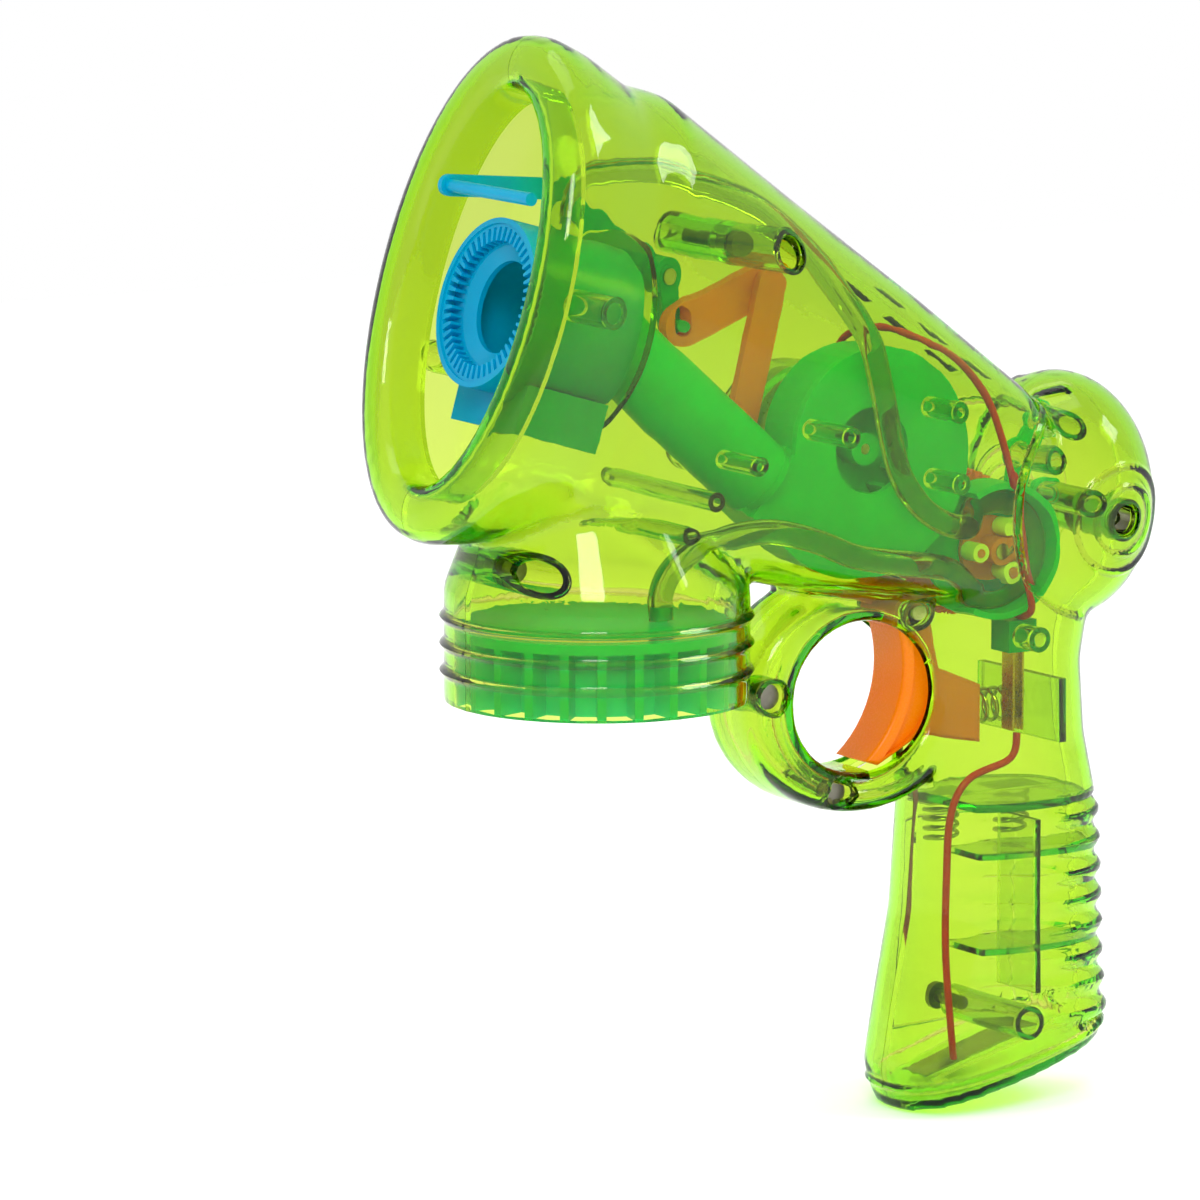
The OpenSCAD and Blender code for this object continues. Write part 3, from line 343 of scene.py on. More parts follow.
# %% Bell and body
X, Y, Z = Vector((1, 0, 0)), Vector((0, 1, 0)), Vector((0, 0, 1))
BELL = Vector((29.9, 0, 77.9))
TILT = math.radians(16)
INWARD = Vector((-math.cos(TILT), 0, -math.sin(TILT)))
UPWARD = Vector((-math.sin(TILT), 0, math.cos(TILT)))
MOUTH_HALF_HEIGHT, MOUTH_HALF_WIDTH = 36.2, 21.3
LIP_RINGS = [  # depth behind the mouth, half height, half width: from inside the lip round to its front
    (16, MOUTH_HALF_HEIGHT, MOUTH_HALF_WIDTH), (4, MOUTH_HALF_HEIGHT, MOUTH_HALF_WIDTH),
    (1.6, 36.8, 21.8), (0.4, 38.2, 23.0), (0, 40.2, 24.8), (0.2, 42.2, 26.5), (1.0, 44.4, 28.4),
]
BODY_RINGS = [  # depth, top, bottom, half width, squareness
    (2.5, 46.3, -46.1, 30.0, 2.05), (6, 47.2, -47, 31, 2.05), (12, 46, -45.5, 30.3, 2.1),
    (22, 42.4, -42.5, 28, 2.2), (30, 42.5, -43, 28.3, 2.3), (60, 31, -41, 26, 2.5),
    (90, 19.6, -38.5, 22.5, 3.2), (120, 8.3, -35, 18.5, 3.2), (140, -2, -32, 14, 3),
]


def bell_point(depth, height):
    """A point in the middle plane by its depth behind the mouth and its height on the mouth's face."""
    return BELL + INWARD * depth + UPWARD * height


form = bmesh.new()
rings = [oval_ring(form, bell_point(d, 0), UPWARD, Y, h, w) for d, h, w in LIP_RINGS]
rings += [oval_ring(form, bell_point(d, (top + low) / 2), UPWARD, Y, (top - low) / 2, w, power)
          for d, top, low, w, power in BODY_RINGS]
loft(form, rings)
print("bell and body:", len(rings), "rings")

# %% [markdown]
# The grip, the skirt of the socket and the guard are lofts too, and the round back is a stretched sphere.
# The guard's rings go out through one cheek and back through the other, so its loft closes on itself.

# %% Grip, skirt, guard and round back
GRIP_POWER = 2.6
GRIP_RINGS = [  # height, middle, half length, half width, tilt in degrees
    (18, -88, 18.5, 15.5, 0), (0, -86.3, 17, 15, 0), (-14, -86.8, 17.6, 15, 0), (-26, -88.5, 18.6, 15.5, 0),
    (-46, -88.3, 20, 15.5, 3), (-62, -86.8, 22.2, 16, 8), (-72, -86.3, 24, 16.5, 12),
    (-78.3, -87, 22.8, 15.2, 15.6),
]
SKIRT_RADIUS, SKIRT_SPARE = 28.0, 1.6
SKIRT_RINGS = [  # x, height, radius: from inside the body to a little below the socket's mouth
    (2, 35, 21), (0, 21, SKIRT_RADIUS), (0, -SKIRT_SPARE, SKIRT_RADIUS),
]
GUARD = Vector((-53.6, 0, -3.8))
GUARD_HOLE, GUARD_OUTER = (15.3, 14.2), (25.6, 21.7)
GUARD_RINGS = [  # grown from the hole or shrunk from the outside, and half thickness
    (GUARD_HOLE, 0, 6.8), (GUARD_HOLE, 0.5, 8.2), (GUARD_HOLE, 2, 9), (GUARD_OUTER, -2.2, 9),
    (GUARD_OUTER, -0.9, 8), (GUARD_OUTER, 0, 6.4),
]
DOME_MIDDLE, DOME_RADII = Vector((-101.8, 0, 29.8)), (17, 21, 23.6)

rings = []
for z, middle, length, width, tilt in GRIP_RINGS:
    lean = Vector((math.cos(math.radians(tilt)), 0, -math.sin(math.radians(tilt))))
    rings.append(oval_ring(form, Vector((middle, 0, z)), lean, Y, length, width, GRIP_POWER))
loft(form, rings)
loft(form, [oval_ring(form, Vector((x, 0, z)), X, Y, r, r) for x, z, r in SKIRT_RINGS])
cheeks = [(1, ring) for ring in GUARD_RINGS] + [(-1, ring) for ring in reversed(GUARD_RINGS)]
rings = [oval_ring(form, GUARD + Y * half * side, X, Z, size[0] + grow, size[1] + grow)
         for side, (size, grow, half) in cheeks]
loft(form, rings, closed=True)
dome = bmesh.ops.create_uvsphere(form, u_segments=48, v_segments=32, radius=1)["verts"]
bmesh.ops.scale(form, vec=DOME_RADII, verts=dome)
bmesh.ops.translate(form, vec=DOME_MIDDLE, verts=dome)
bmesh.ops.recalc_face_normals(form, faces=form.faces)
print("case form:", len(form.faces), "faces in 5 overlapping solids")

# %% [markdown]
# The voxel remesh welds the solids into a single skin with even quads, which Boolean unions wouldn't give.
# Smoothing that skin then gives the soft fillets that a mould has at every join.

# %% Welding the case
VOXEL = 1.0
SMOOTHINGS = 6
form_mesh = bpy.data.meshes.new("case_form")
form.to_mesh(form_mesh)
form.free()
form_object = bpy.data.objects.new("case_form", form_mesh)
bpy.context.scene.collection.objects.link(form_object)
weld = form_object.modifiers.new("weld", "REMESH")
weld.mode = "VOXEL"
weld.voxel_size = VOXEL
skin = bmesh.new()
skin.from_object(form_object, bpy.context.evaluated_depsgraph_get())
bpy.data.objects.remove(form_object)
for _ in range(SMOOTHINGS):
    bmesh.ops.smooth_vert(skin, verts=skin.verts, factor=0.5, use_axis_x=True, use_axis_y=True, use_axis_z=True)
print("case skin:", len(skin.faces), "quads")

# %% [markdown]
# The back of the grip has eight round ridges for the hand. They are raised on the skin itself: each
# point moves out along its normal by a wave of its height, fading out towards the front of the grip.

# %% Grip ridges
RIDGE_TOP, RIDGE_PITCH, RIDGE_COUNT, RIDGE_HEIGHT = -29.0, 5.4, 8, 1.3
RIDGE_FRONT, RIDGE_FADE = -88.0, 9.0  # the ridges start behind this x and reach full height over this length
RIDGE_SINK = 0.45  # share of the height that goes inwards, between the ridges
ridge_low = RIDGE_TOP - RIDGE_PITCH * (RIDGE_COUNT - 0.5)
skin.normal_update()
for vert in skin.verts:
    x, y, z = vert.co
    if x > RIDGE_FRONT or not ridge_low < z < RIDGE_TOP + RIDGE_PITCH / 2:
        continue
    wave = math.cos(math.pi * (z - RIDGE_TOP) / RIDGE_PITCH) ** 2
    fade = min(1.0, (RIDGE_FRONT - x) / RIDGE_FADE)
    vert.co += vert.normal * (RIDGE_HEIGHT * (wave - RIDGE_SINK) * fade)
print(RIDGE_COUNT, "ridges from", RIDGE_TOP, "down to", round(ridge_low, 1))

# %% [markdown]
# The socket skirt has three raised beads that stiffen it, and fine beads ring the round back, its
# screw, the guard and the foot of the grip. The skin's quads are halved along a bead first, as it is
# only a few quads wide.

# %% Raised beads
def raise_bead(near, distance, height, width, fade=lambda p: 1.0):
    """Raises a round bead on the skin where distance is zero and near is true; fade thins it at its ends."""
    edges = [e for e in skin.edges if all(near(v.co) and abs(distance(v.co)) < width for v in e.verts)]
    bmesh.ops.subdivide_edges(skin, edges=edges, cuts=1, use_grid_fill=True)
    skin.normal_update()
    for vert in skin.verts:
        off = abs(distance(vert.co)) / width
        if off < 0.5 and near(vert.co):
            vert.co += vert.normal * height * math.cos(math.pi * off) ** 2 * fade(vert.co)


def from_axis(x, z):
    """A function that gives a point's distance from the line along Y through x and z."""
    return lambda p: math.hypot(p.x - x, p.z - z)


SKIRT_BEADS = (5.5, 10.5, 15.5)  # heights
for z in SKIRT_BEADS:
    raise_bead(lambda p: abs(p.xy.length - SKIRT_RADIUS) < 0.8, lambda p: p.z - z, height=0.8, width=2.4)
BACK_SCREW = (-104, 27)
SCREW_BEADS = (6.6, 10.2)  # radii
back_screw = from_axis(*BACK_SCREW)
for radius in SCREW_BEADS:
    raise_bead(lambda p: back_screw(p) < 12 and abs(p.y) > 5, lambda p: back_screw(p) - radius,
               height=0.45, width=1.9)
BACK_BEAD = 21.5  # radius
back_middle = from_axis(DOME_MIDDLE.x, DOME_MIDDLE.z)
raise_bead(lambda p: -99 < p.x < -70 and abs(p.y) > 4, lambda p: back_middle(p) - BACK_BEAD,
           height=0.6, width=2.2)
FOOT, FOOT_SLOPE = Vector((-86.5, 0, -74.5)), math.tan(math.radians(13))
raise_bead(lambda p: p.z < -60, lambda p: p.z - FOOT.z + (p.x - FOOT.x) * FOOT_SLOPE, height=0.5, width=2.2)
print("skin with the beads:", len(skin.faces), "faces")

# %% [markdown]
# The guard's bead is an oval halfway between its hole and its outside. It stays on the cheeks and fades
# out before it meets the grip, the body and the skirt, where it would run into their fillets.

# %% Bead round the guard
GUARD_BACK, GUARD_TOP, GUARD_FRONT = -68.0, 7.0, SKIRT_RADIUS + 1.5  # where the bead ends
guard_line = [(hole + outer) / 2 for hole, outer in zip(GUARD_HOLE, GUARD_OUTER)]


def on_guard(p):
    return p.x > GUARD_BACK and p.z < GUARD_TOP and p.xy.length > GUARD_FRONT and 5 < abs(p.y) < 10


def from_guard_line(p):
    return (math.hypot((p.x - GUARD.x) / guard_line[0], (p.z - GUARD.z) / guard_line[1]) - 1) * guard_line[1]


def guard_fade(p):
    return min(1.0, (p.x - GUARD_BACK) / 8, (p.xy.length - GUARD_FRONT) / 4, (GUARD_TOP - p.z) / 6)


raise_bead(on_guard, from_guard_line, height=0.6, width=2.4, fade=guard_fade)
print("guard bead:", [round(half, 1) for half in guard_line], "mm half sizes")

# %% [markdown]
# Openings are cut with planes, so that their edges are straight although the skin's quads are not. A
# Boolean would cut them too, but it needs a closed solid, and the skin has no thickness yet. Only the faces
# near an opening are cut, and then those inside it are deleted.

# %% Cutting a window
def cut_window(bm, near, planes, inside):
    """Cuts the faces for which near is true by planes, then deletes those for which inside is true."""
    for point, normal in planes:
        faces = [f for f in bm.faces if near(f.calc_center_median())]
        edges = list(dict.fromkeys(e for f in faces for e in f.edges))
        verts = list(dict.fromkeys(v for f in faces for v in f.verts))
        bmesh.ops.bisect_plane(bm, geom=faces + edges + verts, dist=0.001, plane_co=point, plane_no=normal)
    gone = [f for f in bm.faces if inside(f.calc_center_median())]
    bmesh.ops.delete(bm, geom=gone, context="FACES")


# %% [markdown]
# The bell is open behind its lip, and the skirt is open below for the socket. Both forms were built past
# their openings, so each is cut by one plane and what lies beyond is deleted.

# %% Mouth and socket
LIP_DEPTH, LIP_END = 10.0, 20.0  # how far the lip rolls in, and a depth that the loft's inner cap is short of
MOUTH_SPARE = 1.5


def bell_depth(p):
    return (p - BELL).dot(INWARD)


def in_mouth(p):
    high, wide = MOUTH_HALF_HEIGHT + MOUTH_SPARE, MOUTH_HALF_WIDTH + MOUTH_SPARE
    return ((p - BELL).dot(UPWARD) / high) ** 2 + (p.y / wide) ** 2 < 1


cut_window(skin, lambda p: in_mouth(p) and LIP_DEPTH / 2 < bell_depth(p) < LIP_END,
           [(bell_point(LIP_DEPTH, 0), INWARD)],
           lambda p: in_mouth(p) and LIP_DEPTH < bell_depth(p) < LIP_END)
cut_window(skin, lambda p: abs(p.z) < 3 and p.xy.length < SKIRT_RADIUS + 3, [(Vector((0, 0, 0)), Z)],
           lambda p: -2 * SKIRT_SPARE < p.z < 0 and p.xy.length < SKIRT_RADIUS + 0.6)
print("skin after the mouth and the socket:", len(skin.faces), "faces")

# %% [markdown]
# The trigger comes out through a slot in the back of the guard's hole. The slot reaches farther forward
# below than above, because the trigger's face is curved.

# %% Trigger slot
SLOT_HALF, SLOT_SPARE = 6.1, 2.5
SLOT_TOP_X, SLOT_LOW_X = -58.0, -55.5


def in_guard_hole(p):
    along, up = GUARD_HOLE[0] + SLOT_SPARE, GUARD_HOLE[1] + SLOT_SPARE
    return ((p.x - GUARD.x) / along) ** 2 + ((p.z - GUARD.z) / up) ** 2 < 1


cut_window(skin, lambda p: in_guard_hole(p) and p.x < -50,
           [(Vector((0, SLOT_HALF, 0)), Y), (Vector((0, -SLOT_HALF, 0)), Y),
            (Vector((SLOT_TOP_X, 0, 0)), X), (Vector((SLOT_LOW_X, 0, 0)), X)],
           lambda p: (in_guard_hole(p) and abs(p.y) < SLOT_HALF
                      and p.x < (SLOT_TOP_X if p.z > GUARD.z else SLOT_LOW_X)))
print("skin after the trigger slot:", len(skin.faces), "faces")

# %% [markdown]
# Three pairs of small slots in the sloping roof let air in to the fan. Each is cut by four planes that
# follow the roof's slope, so that its edges are clean on a skin whose quads lie at another angle.

# %% Roof vents
VENTS = [(-61, 72), (-71, 65), (-80.6, 58)]  # x and z
ROOF = Vector((math.cos(math.radians(36)), 0, math.sin(math.radians(36))))
VENT_HALF_LENGTH, VENT_HALF_WIDTH, VENT_Y, VENT_REACH = 3.5, 1.5, 6.0, 12.0
for x, z in VENTS:
    for side in (-1, 1):
        middle = Vector((x, VENT_Y * side, z))

        def within(p, grow, middle=middle):
            away = p - middle
            return (abs(away.dot(ROOF)) < VENT_HALF_LENGTH + grow and abs(away.y) < VENT_HALF_WIDTH + grow
                    and away.length < VENT_REACH)

        cut_window(skin, lambda p: within(p, 2),
                   [(middle + ROOF * VENT_HALF_LENGTH, ROOF), (middle - ROOF * VENT_HALF_LENGTH, ROOF),
                    (middle + Y * VENT_HALF_WIDTH, Y), (middle - Y * VENT_HALF_WIDTH, Y)],
                   lambda p: within(p, 0))
print("skin after the openings:", len(skin.faces), "faces")

# %% [markdown]
# Each screw sits at the bottom of a round well in the left half. A well's mouth is a circle, which is
# cut with the planes of a polygon round it. It is a little wider than the boss's bore, because two clear
# surfaces in the same place would turn black.

# %% Screw wells
SCREWS = [(21, 26, 4), (-27.6, 82, 4), (*BACK_SCREW, 4), (-33.3, -2, 3.6), (-48, -21.2, 3.4)]  # x, z, boss radius
WELL_RADIUS, WELL_SPARE = 2.8, 0.4


def round_planes(middle, axis, radius, sides=16):
    """Planes of a polygon round an axis through a point."""
    out = axis.orthogonal().normalized()
    normals = [Matrix.Rotation(math.tau * i / sides, 3, axis) @ out for i in range(sides)]
    return [(middle + normal * radius, normal) for normal in normals]


def inside_planes(p, planes, grow=0.0):
    return all((p - point).dot(normal) < grow for point, normal in planes)


outer_wall = BVHTree.FromBMesh(skin)
for x, z, _ in SCREWS:
    well = round_planes(Vector((x, 0, z)), Y, WELL_RADIUS + WELL_SPARE)
    cut_window(skin, lambda p: p.y > 0 and inside_planes(p, well, 2), well,
               lambda p: p.y > 0 and inside_planes(p, well))
print("skin after", len(SCREWS), "screw wells:", len(skin.faces), "faces")

# %% [markdown]
# A piece is finished by one function: it scales the mesh to metres, shades it smooth apart from sharp
# edges, gives it its finish and lets it ride on its body.

# %% Finishing a piece
def add_piece(bm, name, finish, body="case", nodes=(), sharp=40):
    """Makes the object of a mesh built in millimetres; it stands for the CAD nodes that are named."""
    bmesh.ops.scale(bm, vec=(MM, MM, MM), verts=bm.verts)
    mesh = bpy.data.meshes.new(name)
    bm.to_mesh(mesh)
    bm.free()
    mesh.shade_smooth()
    mesh.set_sharp_from_angle(angle=math.radians(sharp))
    mesh.materials.append(finish)
    piece = bpy.data.objects.new(name, mesh)
    bpy.context.scene.collection.objects.link(piece)
    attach(piece, body)
    if nodes:
        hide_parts(*nodes)
    print(name, len(mesh.polygons), "faces")
    return piece


# %% [markdown]
# The case splits down the middle into two halves, and the battery door is cut from the right one. Each
# gets its 2 mm wall from solidify, which also closes the rim where the halves meet.

# %% Thickening a skin
WALL = 2.0


def give_wall(bm):
    """Thickens an open skin inwards by the wall."""
    mesh = bpy.data.meshes.new("skin")
    bm.to_mesh(mesh)
    bm.free()
    holder = bpy.data.objects.new("skin", mesh)
    bpy.context.scene.collection.objects.link(holder)
    wall = holder.modifiers.new("wall", "SOLIDIFY")
    wall.thickness = WALL
    wall.offset = -1
    wall.use_even_offset = True
    wall.use_quality_normals = True
    thick = bmesh.new()
    thick.from_object(holder, bpy.context.evaluated_depsgraph_get())
    bpy.data.objects.remove(holder)
    return thick


# %% [markdown]
# The parting line is a hair's gap between the halves. The door's outline is cut twice: once from a copy, to
# keep what is inside, and once a little wider from the right half, to take that away.

# %% Case halves and battery door
PARTING = 0.05
DOOR_MIDDLE, DOOR_HALF = Vector((-88, 0, -52)), (14.0, 20.0)
DOOR_Y, DOOR_GAP = -9.0, 0.3


def in_door(p, grow):
    return (abs(p.x - DOOR_MIDDLE.x) < DOOR_HALF[0] + grow and abs(p.z - DOOR_MIDDLE.z) < DOOR_HALF[1] + grow
            and p.y < DOOR_Y)


def door_planes(grow):
    return [(DOOR_MIDDLE + X * (DOOR_HALF[0] + grow) * s, X) for s in (-1, 1)] + [
        (DOOR_MIDDLE + Z * (DOOR_HALF[1] + grow) * s, Z) for s in (-1, 1)]


def everything(bm):
    return bm.verts[:] + bm.edges[:] + bm.faces[:]


for side, name in ((1, "left_half"), (-1, "right_half")):
    half = skin.copy()
    bmesh.ops.bisect_plane(half, geom=everything(half), dist=0.001, plane_co=(0, PARTING * side, 0),
                           plane_no=(0, side, 0), clear_inner=True)
    if side < 0:
        door = half.copy()
        cut_window(door, lambda p: in_door(p, 2), door_planes(0), lambda p: not in_door(p, 0))
        add_piece(give_wall(door), "battery_hatch", lime_styrene, "door", ["battery_door"])
        cut_window(half, lambda p: in_door(p, 3), door_planes(DOOR_GAP), lambda p: in_door(p, DOOR_GAP))
    add_piece(give_wall(half), name, lime_styrene, "case", ["left_shell" if side > 0 else "right_shell"])

# %% [markdown]
# Posts stand inside the halves and carry the works. Each is turned from a profile of radii along the
# gun's width. Where it ends in the wall, a ray from outside finds the wall at each point of its rim, so
# that the rim follows the wall's slope.

# %% Turning a post
FAR_OUTSIDE = 60.0


def wall_y(x, z, side):
    """The middle of the case's wall on one side, found by a ray from outside."""
    hit = outer_wall.ray_cast(Vector((x, FAR_OUTSIDE * side, z)), -Y * side)[0]
    return hit.y - 0.5 * WALL * side


def turn_post(bm, x, z, profile, hollow=True, side=0):
    """A post along Y from (radius, y) points; y is None where it ends in the wall on its side."""
    rings = []
    for radius, y in profile:
        rings.append(oval_ring(bm, Vector((x, y or 0, z)), X, Z, radius, radius, sides=32))
        if y is None:
            for vert in {v for edge in rings[-1] for v in edge.verts}:
                vert.co.y = wall_y(vert.co.x, vert.co.z, side)
    loft(bm, rings, closed=hollow)


# %% [markdown]
# A plain post is a tube from a piece that it carries out to the wall. The bosses for the screws are tubes
# too: those on the left are the wells that hold the heads, and those on the right take the threads.

# %% Posts and bosses
FAN, FAN_POST_REACH, FAN_POST_ANGLES = Vector((-53.6, 0, 42.7)), 14.5, (20, 150, 205)
TRIGGER_PIVOT = Vector((-65.3, 0, 11.4))
PIN_POST, POST_WALL = 3.5, 1.0
MOTOR_RIM, MOTOR_RIM_BORE, MOTOR_RIM_Y = 14, 12.5, -12.7
SHANK_RADIUS, HEAD_Y = 1.6, 4.0
drum_post, low_drum_post = bell_point(16, 1), bell_point(16, -13)
fan_posts = [FAN + FAN_POST_REACH * Vector((math.cos(math.radians(a)), 0, math.sin(math.radians(a))))
             for a in FAN_POST_ANGLES]
left_posts = [(post.x, post.z, 2, 9.3) for post in fan_posts] + [  # x, z, radius, y where it starts
    (-95.6, 44.6, 2.6, 3.3), (-90.7, 38.6, 2.6, 3.3), (-96.8, 30.6, 2.6, 3.3),  # pump housing
    (-88.4, 5, 2.4, 8.5),  # switch block
    (-86, -67.5, 3.2, -9.9),  # battery door's screw
    (TRIGGER_PIVOT.x, TRIGGER_PIVOT.z, PIN_POST, 5.8),
    (drum_post.x, drum_post.z, 3, 15.9),
    (-19.5, 44, 1.8, 11.6),  # air duct
]
right_posts = [
    (-68, 24, 2.4, -11), (-91, 25, 2.4, -11),  # gear plate
    (-32.5, 40.5, PIN_POST, -6.8),  # push lever's pin
    (-21.4, 75, PIN_POST, -17.5),  # wiper's pin
    (low_drum_post.x, low_drum_post.z, 3, -13.9),
    (-15.6, 37, 1.8, 15.4), (-10, 30.7, 1.8, 15.4),  # bars across the body, under the duct
    (TRIGGER_PIVOT.x, TRIGGER_PIVOT.z, PIN_POST, -5.8),
]
for side, name, plain in ((1, "left_posts", left_posts), (-1, "right_posts", right_posts)):
    posts = bmesh.new()
    for x, z, radius, start in plain:
        core = radius - POST_WALL
        turn_post(posts, x, z, [(core, start), (radius, start), (radius, None), (core, None)], side=side)
    for x, z, boss in SCREWS:
        bore = [(WELL_RADIUS, None), (WELL_RADIUS, HEAD_Y), (SHANK_RADIUS, HEAD_Y)]
        if side < 0:
            bore = [(SHANK_RADIUS, None)]
        foot = [(SHANK_RADIUS, PARTING * side), (boss, PARTING * side), (boss, None)]
        turn_post(posts, x, z, foot + bore, side=side)
    if side < 0:
        rim = [(MOTOR_RIM_BORE, MOTOR_RIM_Y), (MOTOR_RIM, MOTOR_RIM_Y), (MOTOR_RIM, None), (MOTOR_RIM_BORE, None)]
        turn_post(posts, FAN.x, FAN.z, rim, side=side)
    bmesh.ops.recalc_face_normals(posts, faces=posts.faces)
    add_piece(posts, name, lime_styrene)

# %% [markdown]
# The grip is stiffened by thin ribs that also hold the two cells. A rib is a slice of the case's own
# outline: the skin is cut by a plane, the cut is filled and given the rib's thickness.

# %% Slicing a rib
GRIP_AXIS = Vector((-88, 0, 0))
RIB_SHRINK = 0.94  # ends the rib within the wall
CELLS = [Vector((-96, -5.5, 0)), Vector((-80, -5.5, 0))]
CELL_RADIUS = 7.55


def slice_rib(bm, axis, place, thick, limits, cells=False):
    """Adds a rib: the slice at a place along an axis, kept between limits of (axis, low, high)."""
    rib = skin.copy()
    bmesh.ops.bisect_plane(rib, geom=everything(rib), dist=0.001, plane_co=axis * place, plane_no=axis,
                           clear_inner=True, clear_outer=True)
    bmesh.ops.contextual_create(rib, geom=rib.edges[:])
    bmesh.ops.scale(rib, vec=(RIB_SHRINK, RIB_SHRINK, 1) if axis == Z else (1, RIB_SHRINK, 1),
                    space=Matrix.Translation(-GRIP_AXIS), verts=rib.verts)
    for across, low, high in limits:
        for at, keep in ((low, 1), (high, -1)):
            bmesh.ops.bisect_plane(rib, geom=everything(rib), dist=0.001, plane_co=across * at,
                                   plane_no=across * keep, clear_inner=True)
    if cells:
        for cell in CELLS:
            planes = round_planes(cell, Z, CELL_RADIUS, 24)
            cut_window(rib, lambda p: True, planes, lambda p: inside_planes(p, planes))
    grown = bmesh.ops.extrude_face_region(rib, geom=rib.faces[:])["geom"]
    bmesh.ops.translate(rib, vec=axis * thick, verts=[e for e in grown if isinstance(e, bmesh.types.BMVert)])
    bmesh.ops.recalc_face_normals(rib, faces=rib.faces)
    mesh = bpy.data.meshes.new("rib")
    rib.to_mesh(mesh)
    rib.free()
    bm.from_mesh(mesh)
    bpy.data.meshes.remove(mesh)


# %% [markdown]
# A shelf closes the top of the battery bay, and above it a plate takes the trigger's spring. Both are in two
# halves, one for each half of the case. Below, two ribs cradle the cells and a wall stands between them.

# %% Ribs in the grip
SHELF_Z, SPRING_PLATE_X, PLATE_THICK = -27.0, -95.0, 1.6
CRADLES_Z, CELL_WALL_X, RIB_THICK = (-36, -54), -88.6, 1.2
GRIP_BACK, GRIP_SIDE = -110, 20  # beyond the grip's skin
ribs = bmesh.new()
for low, high in ((-GRIP_SIDE, -PARTING), (PARTING, GRIP_SIDE)):
    slice_rib(ribs, Z, SHELF_Z, PLATE_THICK, [(X, GRIP_BACK, -76), (Y, low, high)])
    slice_rib(ribs, X, SPRING_PLATE_X, PLATE_THICK, [(Z, -15, -3), (Y, low, high)])
for z in CRADLES_Z:
    slice_rib(ribs, Z, z, RIB_THICK, [(X, GRIP_BACK, -76.5), (Y, 0.4, GRIP_SIDE)], cells=True)
slice_rib(ribs, X, CELL_WALL_X, RIB_THICK, [(Z, -62, -29), (Y, 2.4, GRIP_SIDE)])
add_piece(ribs, "grip_ribs", lime_styrene)
skin.free()

# %% [markdown]
# The hose, the wires and the springs are all one round section swept along a path. The listed
# points of a route are joined by a smooth spline. The section is carried along by turning it as little as
# possible from ring to ring, so that it doesn't twist.

# %% Sweeps
def smooth_route(points, steps=8):
    """A spline through listed points."""
    p = [Vector(point) for point in points]
    path = []
    for i in range(len(p) - 1):
        a, b, c, d = p[max(i - 1, 0)], p[i], p[i + 1], p[min(i + 2, len(p) - 1)]
        for k in range(steps):
            t = k / steps
            path.append(0.5 * (2 * b + (c - a) * t + (2 * a - 5 * b + 4 * c - d) * t ** 2
                               + (3 * b - a - 3 * c + d) * t ** 3))
    return path + [p[-1]]


def sweep(bm, path, radius, bore=0.0, sides=20):
    """A round bar along a path, or a tube if it has a bore."""
    aside = None
    outer, inner = [], []
    for i, point in enumerate(path):
        ahead = (path[min(i + 1, len(path) - 1)] - path[max(i - 1, 0)]).normalized()
        aside = aside or ahead.orthogonal()
        aside = (aside - ahead * aside.dot(ahead)).normalized()
        other = ahead.cross(aside)
        outer.append(oval_ring(bm, point, aside, other, radius, radius, sides=sides))
        if bore:
            inner.append(oval_ring(bm, point, aside, other, bore, bore, sides=sides))
    loft(bm, outer + inner[::-1], closed=bool(bore))
    bmesh.ops.recalc_face_normals(bm, faces=bm.faces)


# %% [markdown]
# The clear vinyl hose runs unbroken from the collar in the socket, round the pump's rollers, and up over the
# fan to the bubble ring. It is hollow, so its wall shows as two bright lines.

# %% Hose
PUMP = Vector((-82.916, 5.75, 21.634))
HOSE_RADIUS, HOSE_BORE, PUMP_LOOP = 2.3, 1.5, 9.1
SUCTION = [(-10, 6, 14.4), (-10, 6, 19), (-11.5, 8, 24), (-17, 11, 28.8), (-27, 13.4, 30.5), (-38, 13, 28),
           (-48, 11.9, 24), (-58, 11.9, 22), (-66, 10.8, 20.6), (-72.5, 8.2, 18.4)]
DELIVERY = [(-75.6, 8.9, 27.9), (-72.3, 12.1, 27.4), (-67.5, 12.3, 28.6), (-62.5, 12, 32), (-58, 12, 38),
            (-55.5, 12, 46), (-53.5, 12, 55), (-50.5, 12, 64), (-44, 11.5, 73), (-37.8, 9.5, 81.4),
            (-29.6, 7.3, 89), (-19, 6, 93.4), (-9, 4.5, 96.4), (1.5, 1.6, 96), (7.2, 0, 91.8), (8.4, 0, 87.4)]
pump_loop = [PUMP + PUMP_LOOP * Vector((math.cos(math.radians(a)), 0, math.sin(math.radians(a))))
             for a in range(300, 59, -12)]
hose = bmesh.new()
sweep(hose, smooth_route(SUCTION + pump_loop + DELIVERY, 5), HOSE_RADIUS, HOSE_BORE, sides=24)
add_piece(hose, "clear_hose", clear_vinyl, "case", ["solution_hose"])
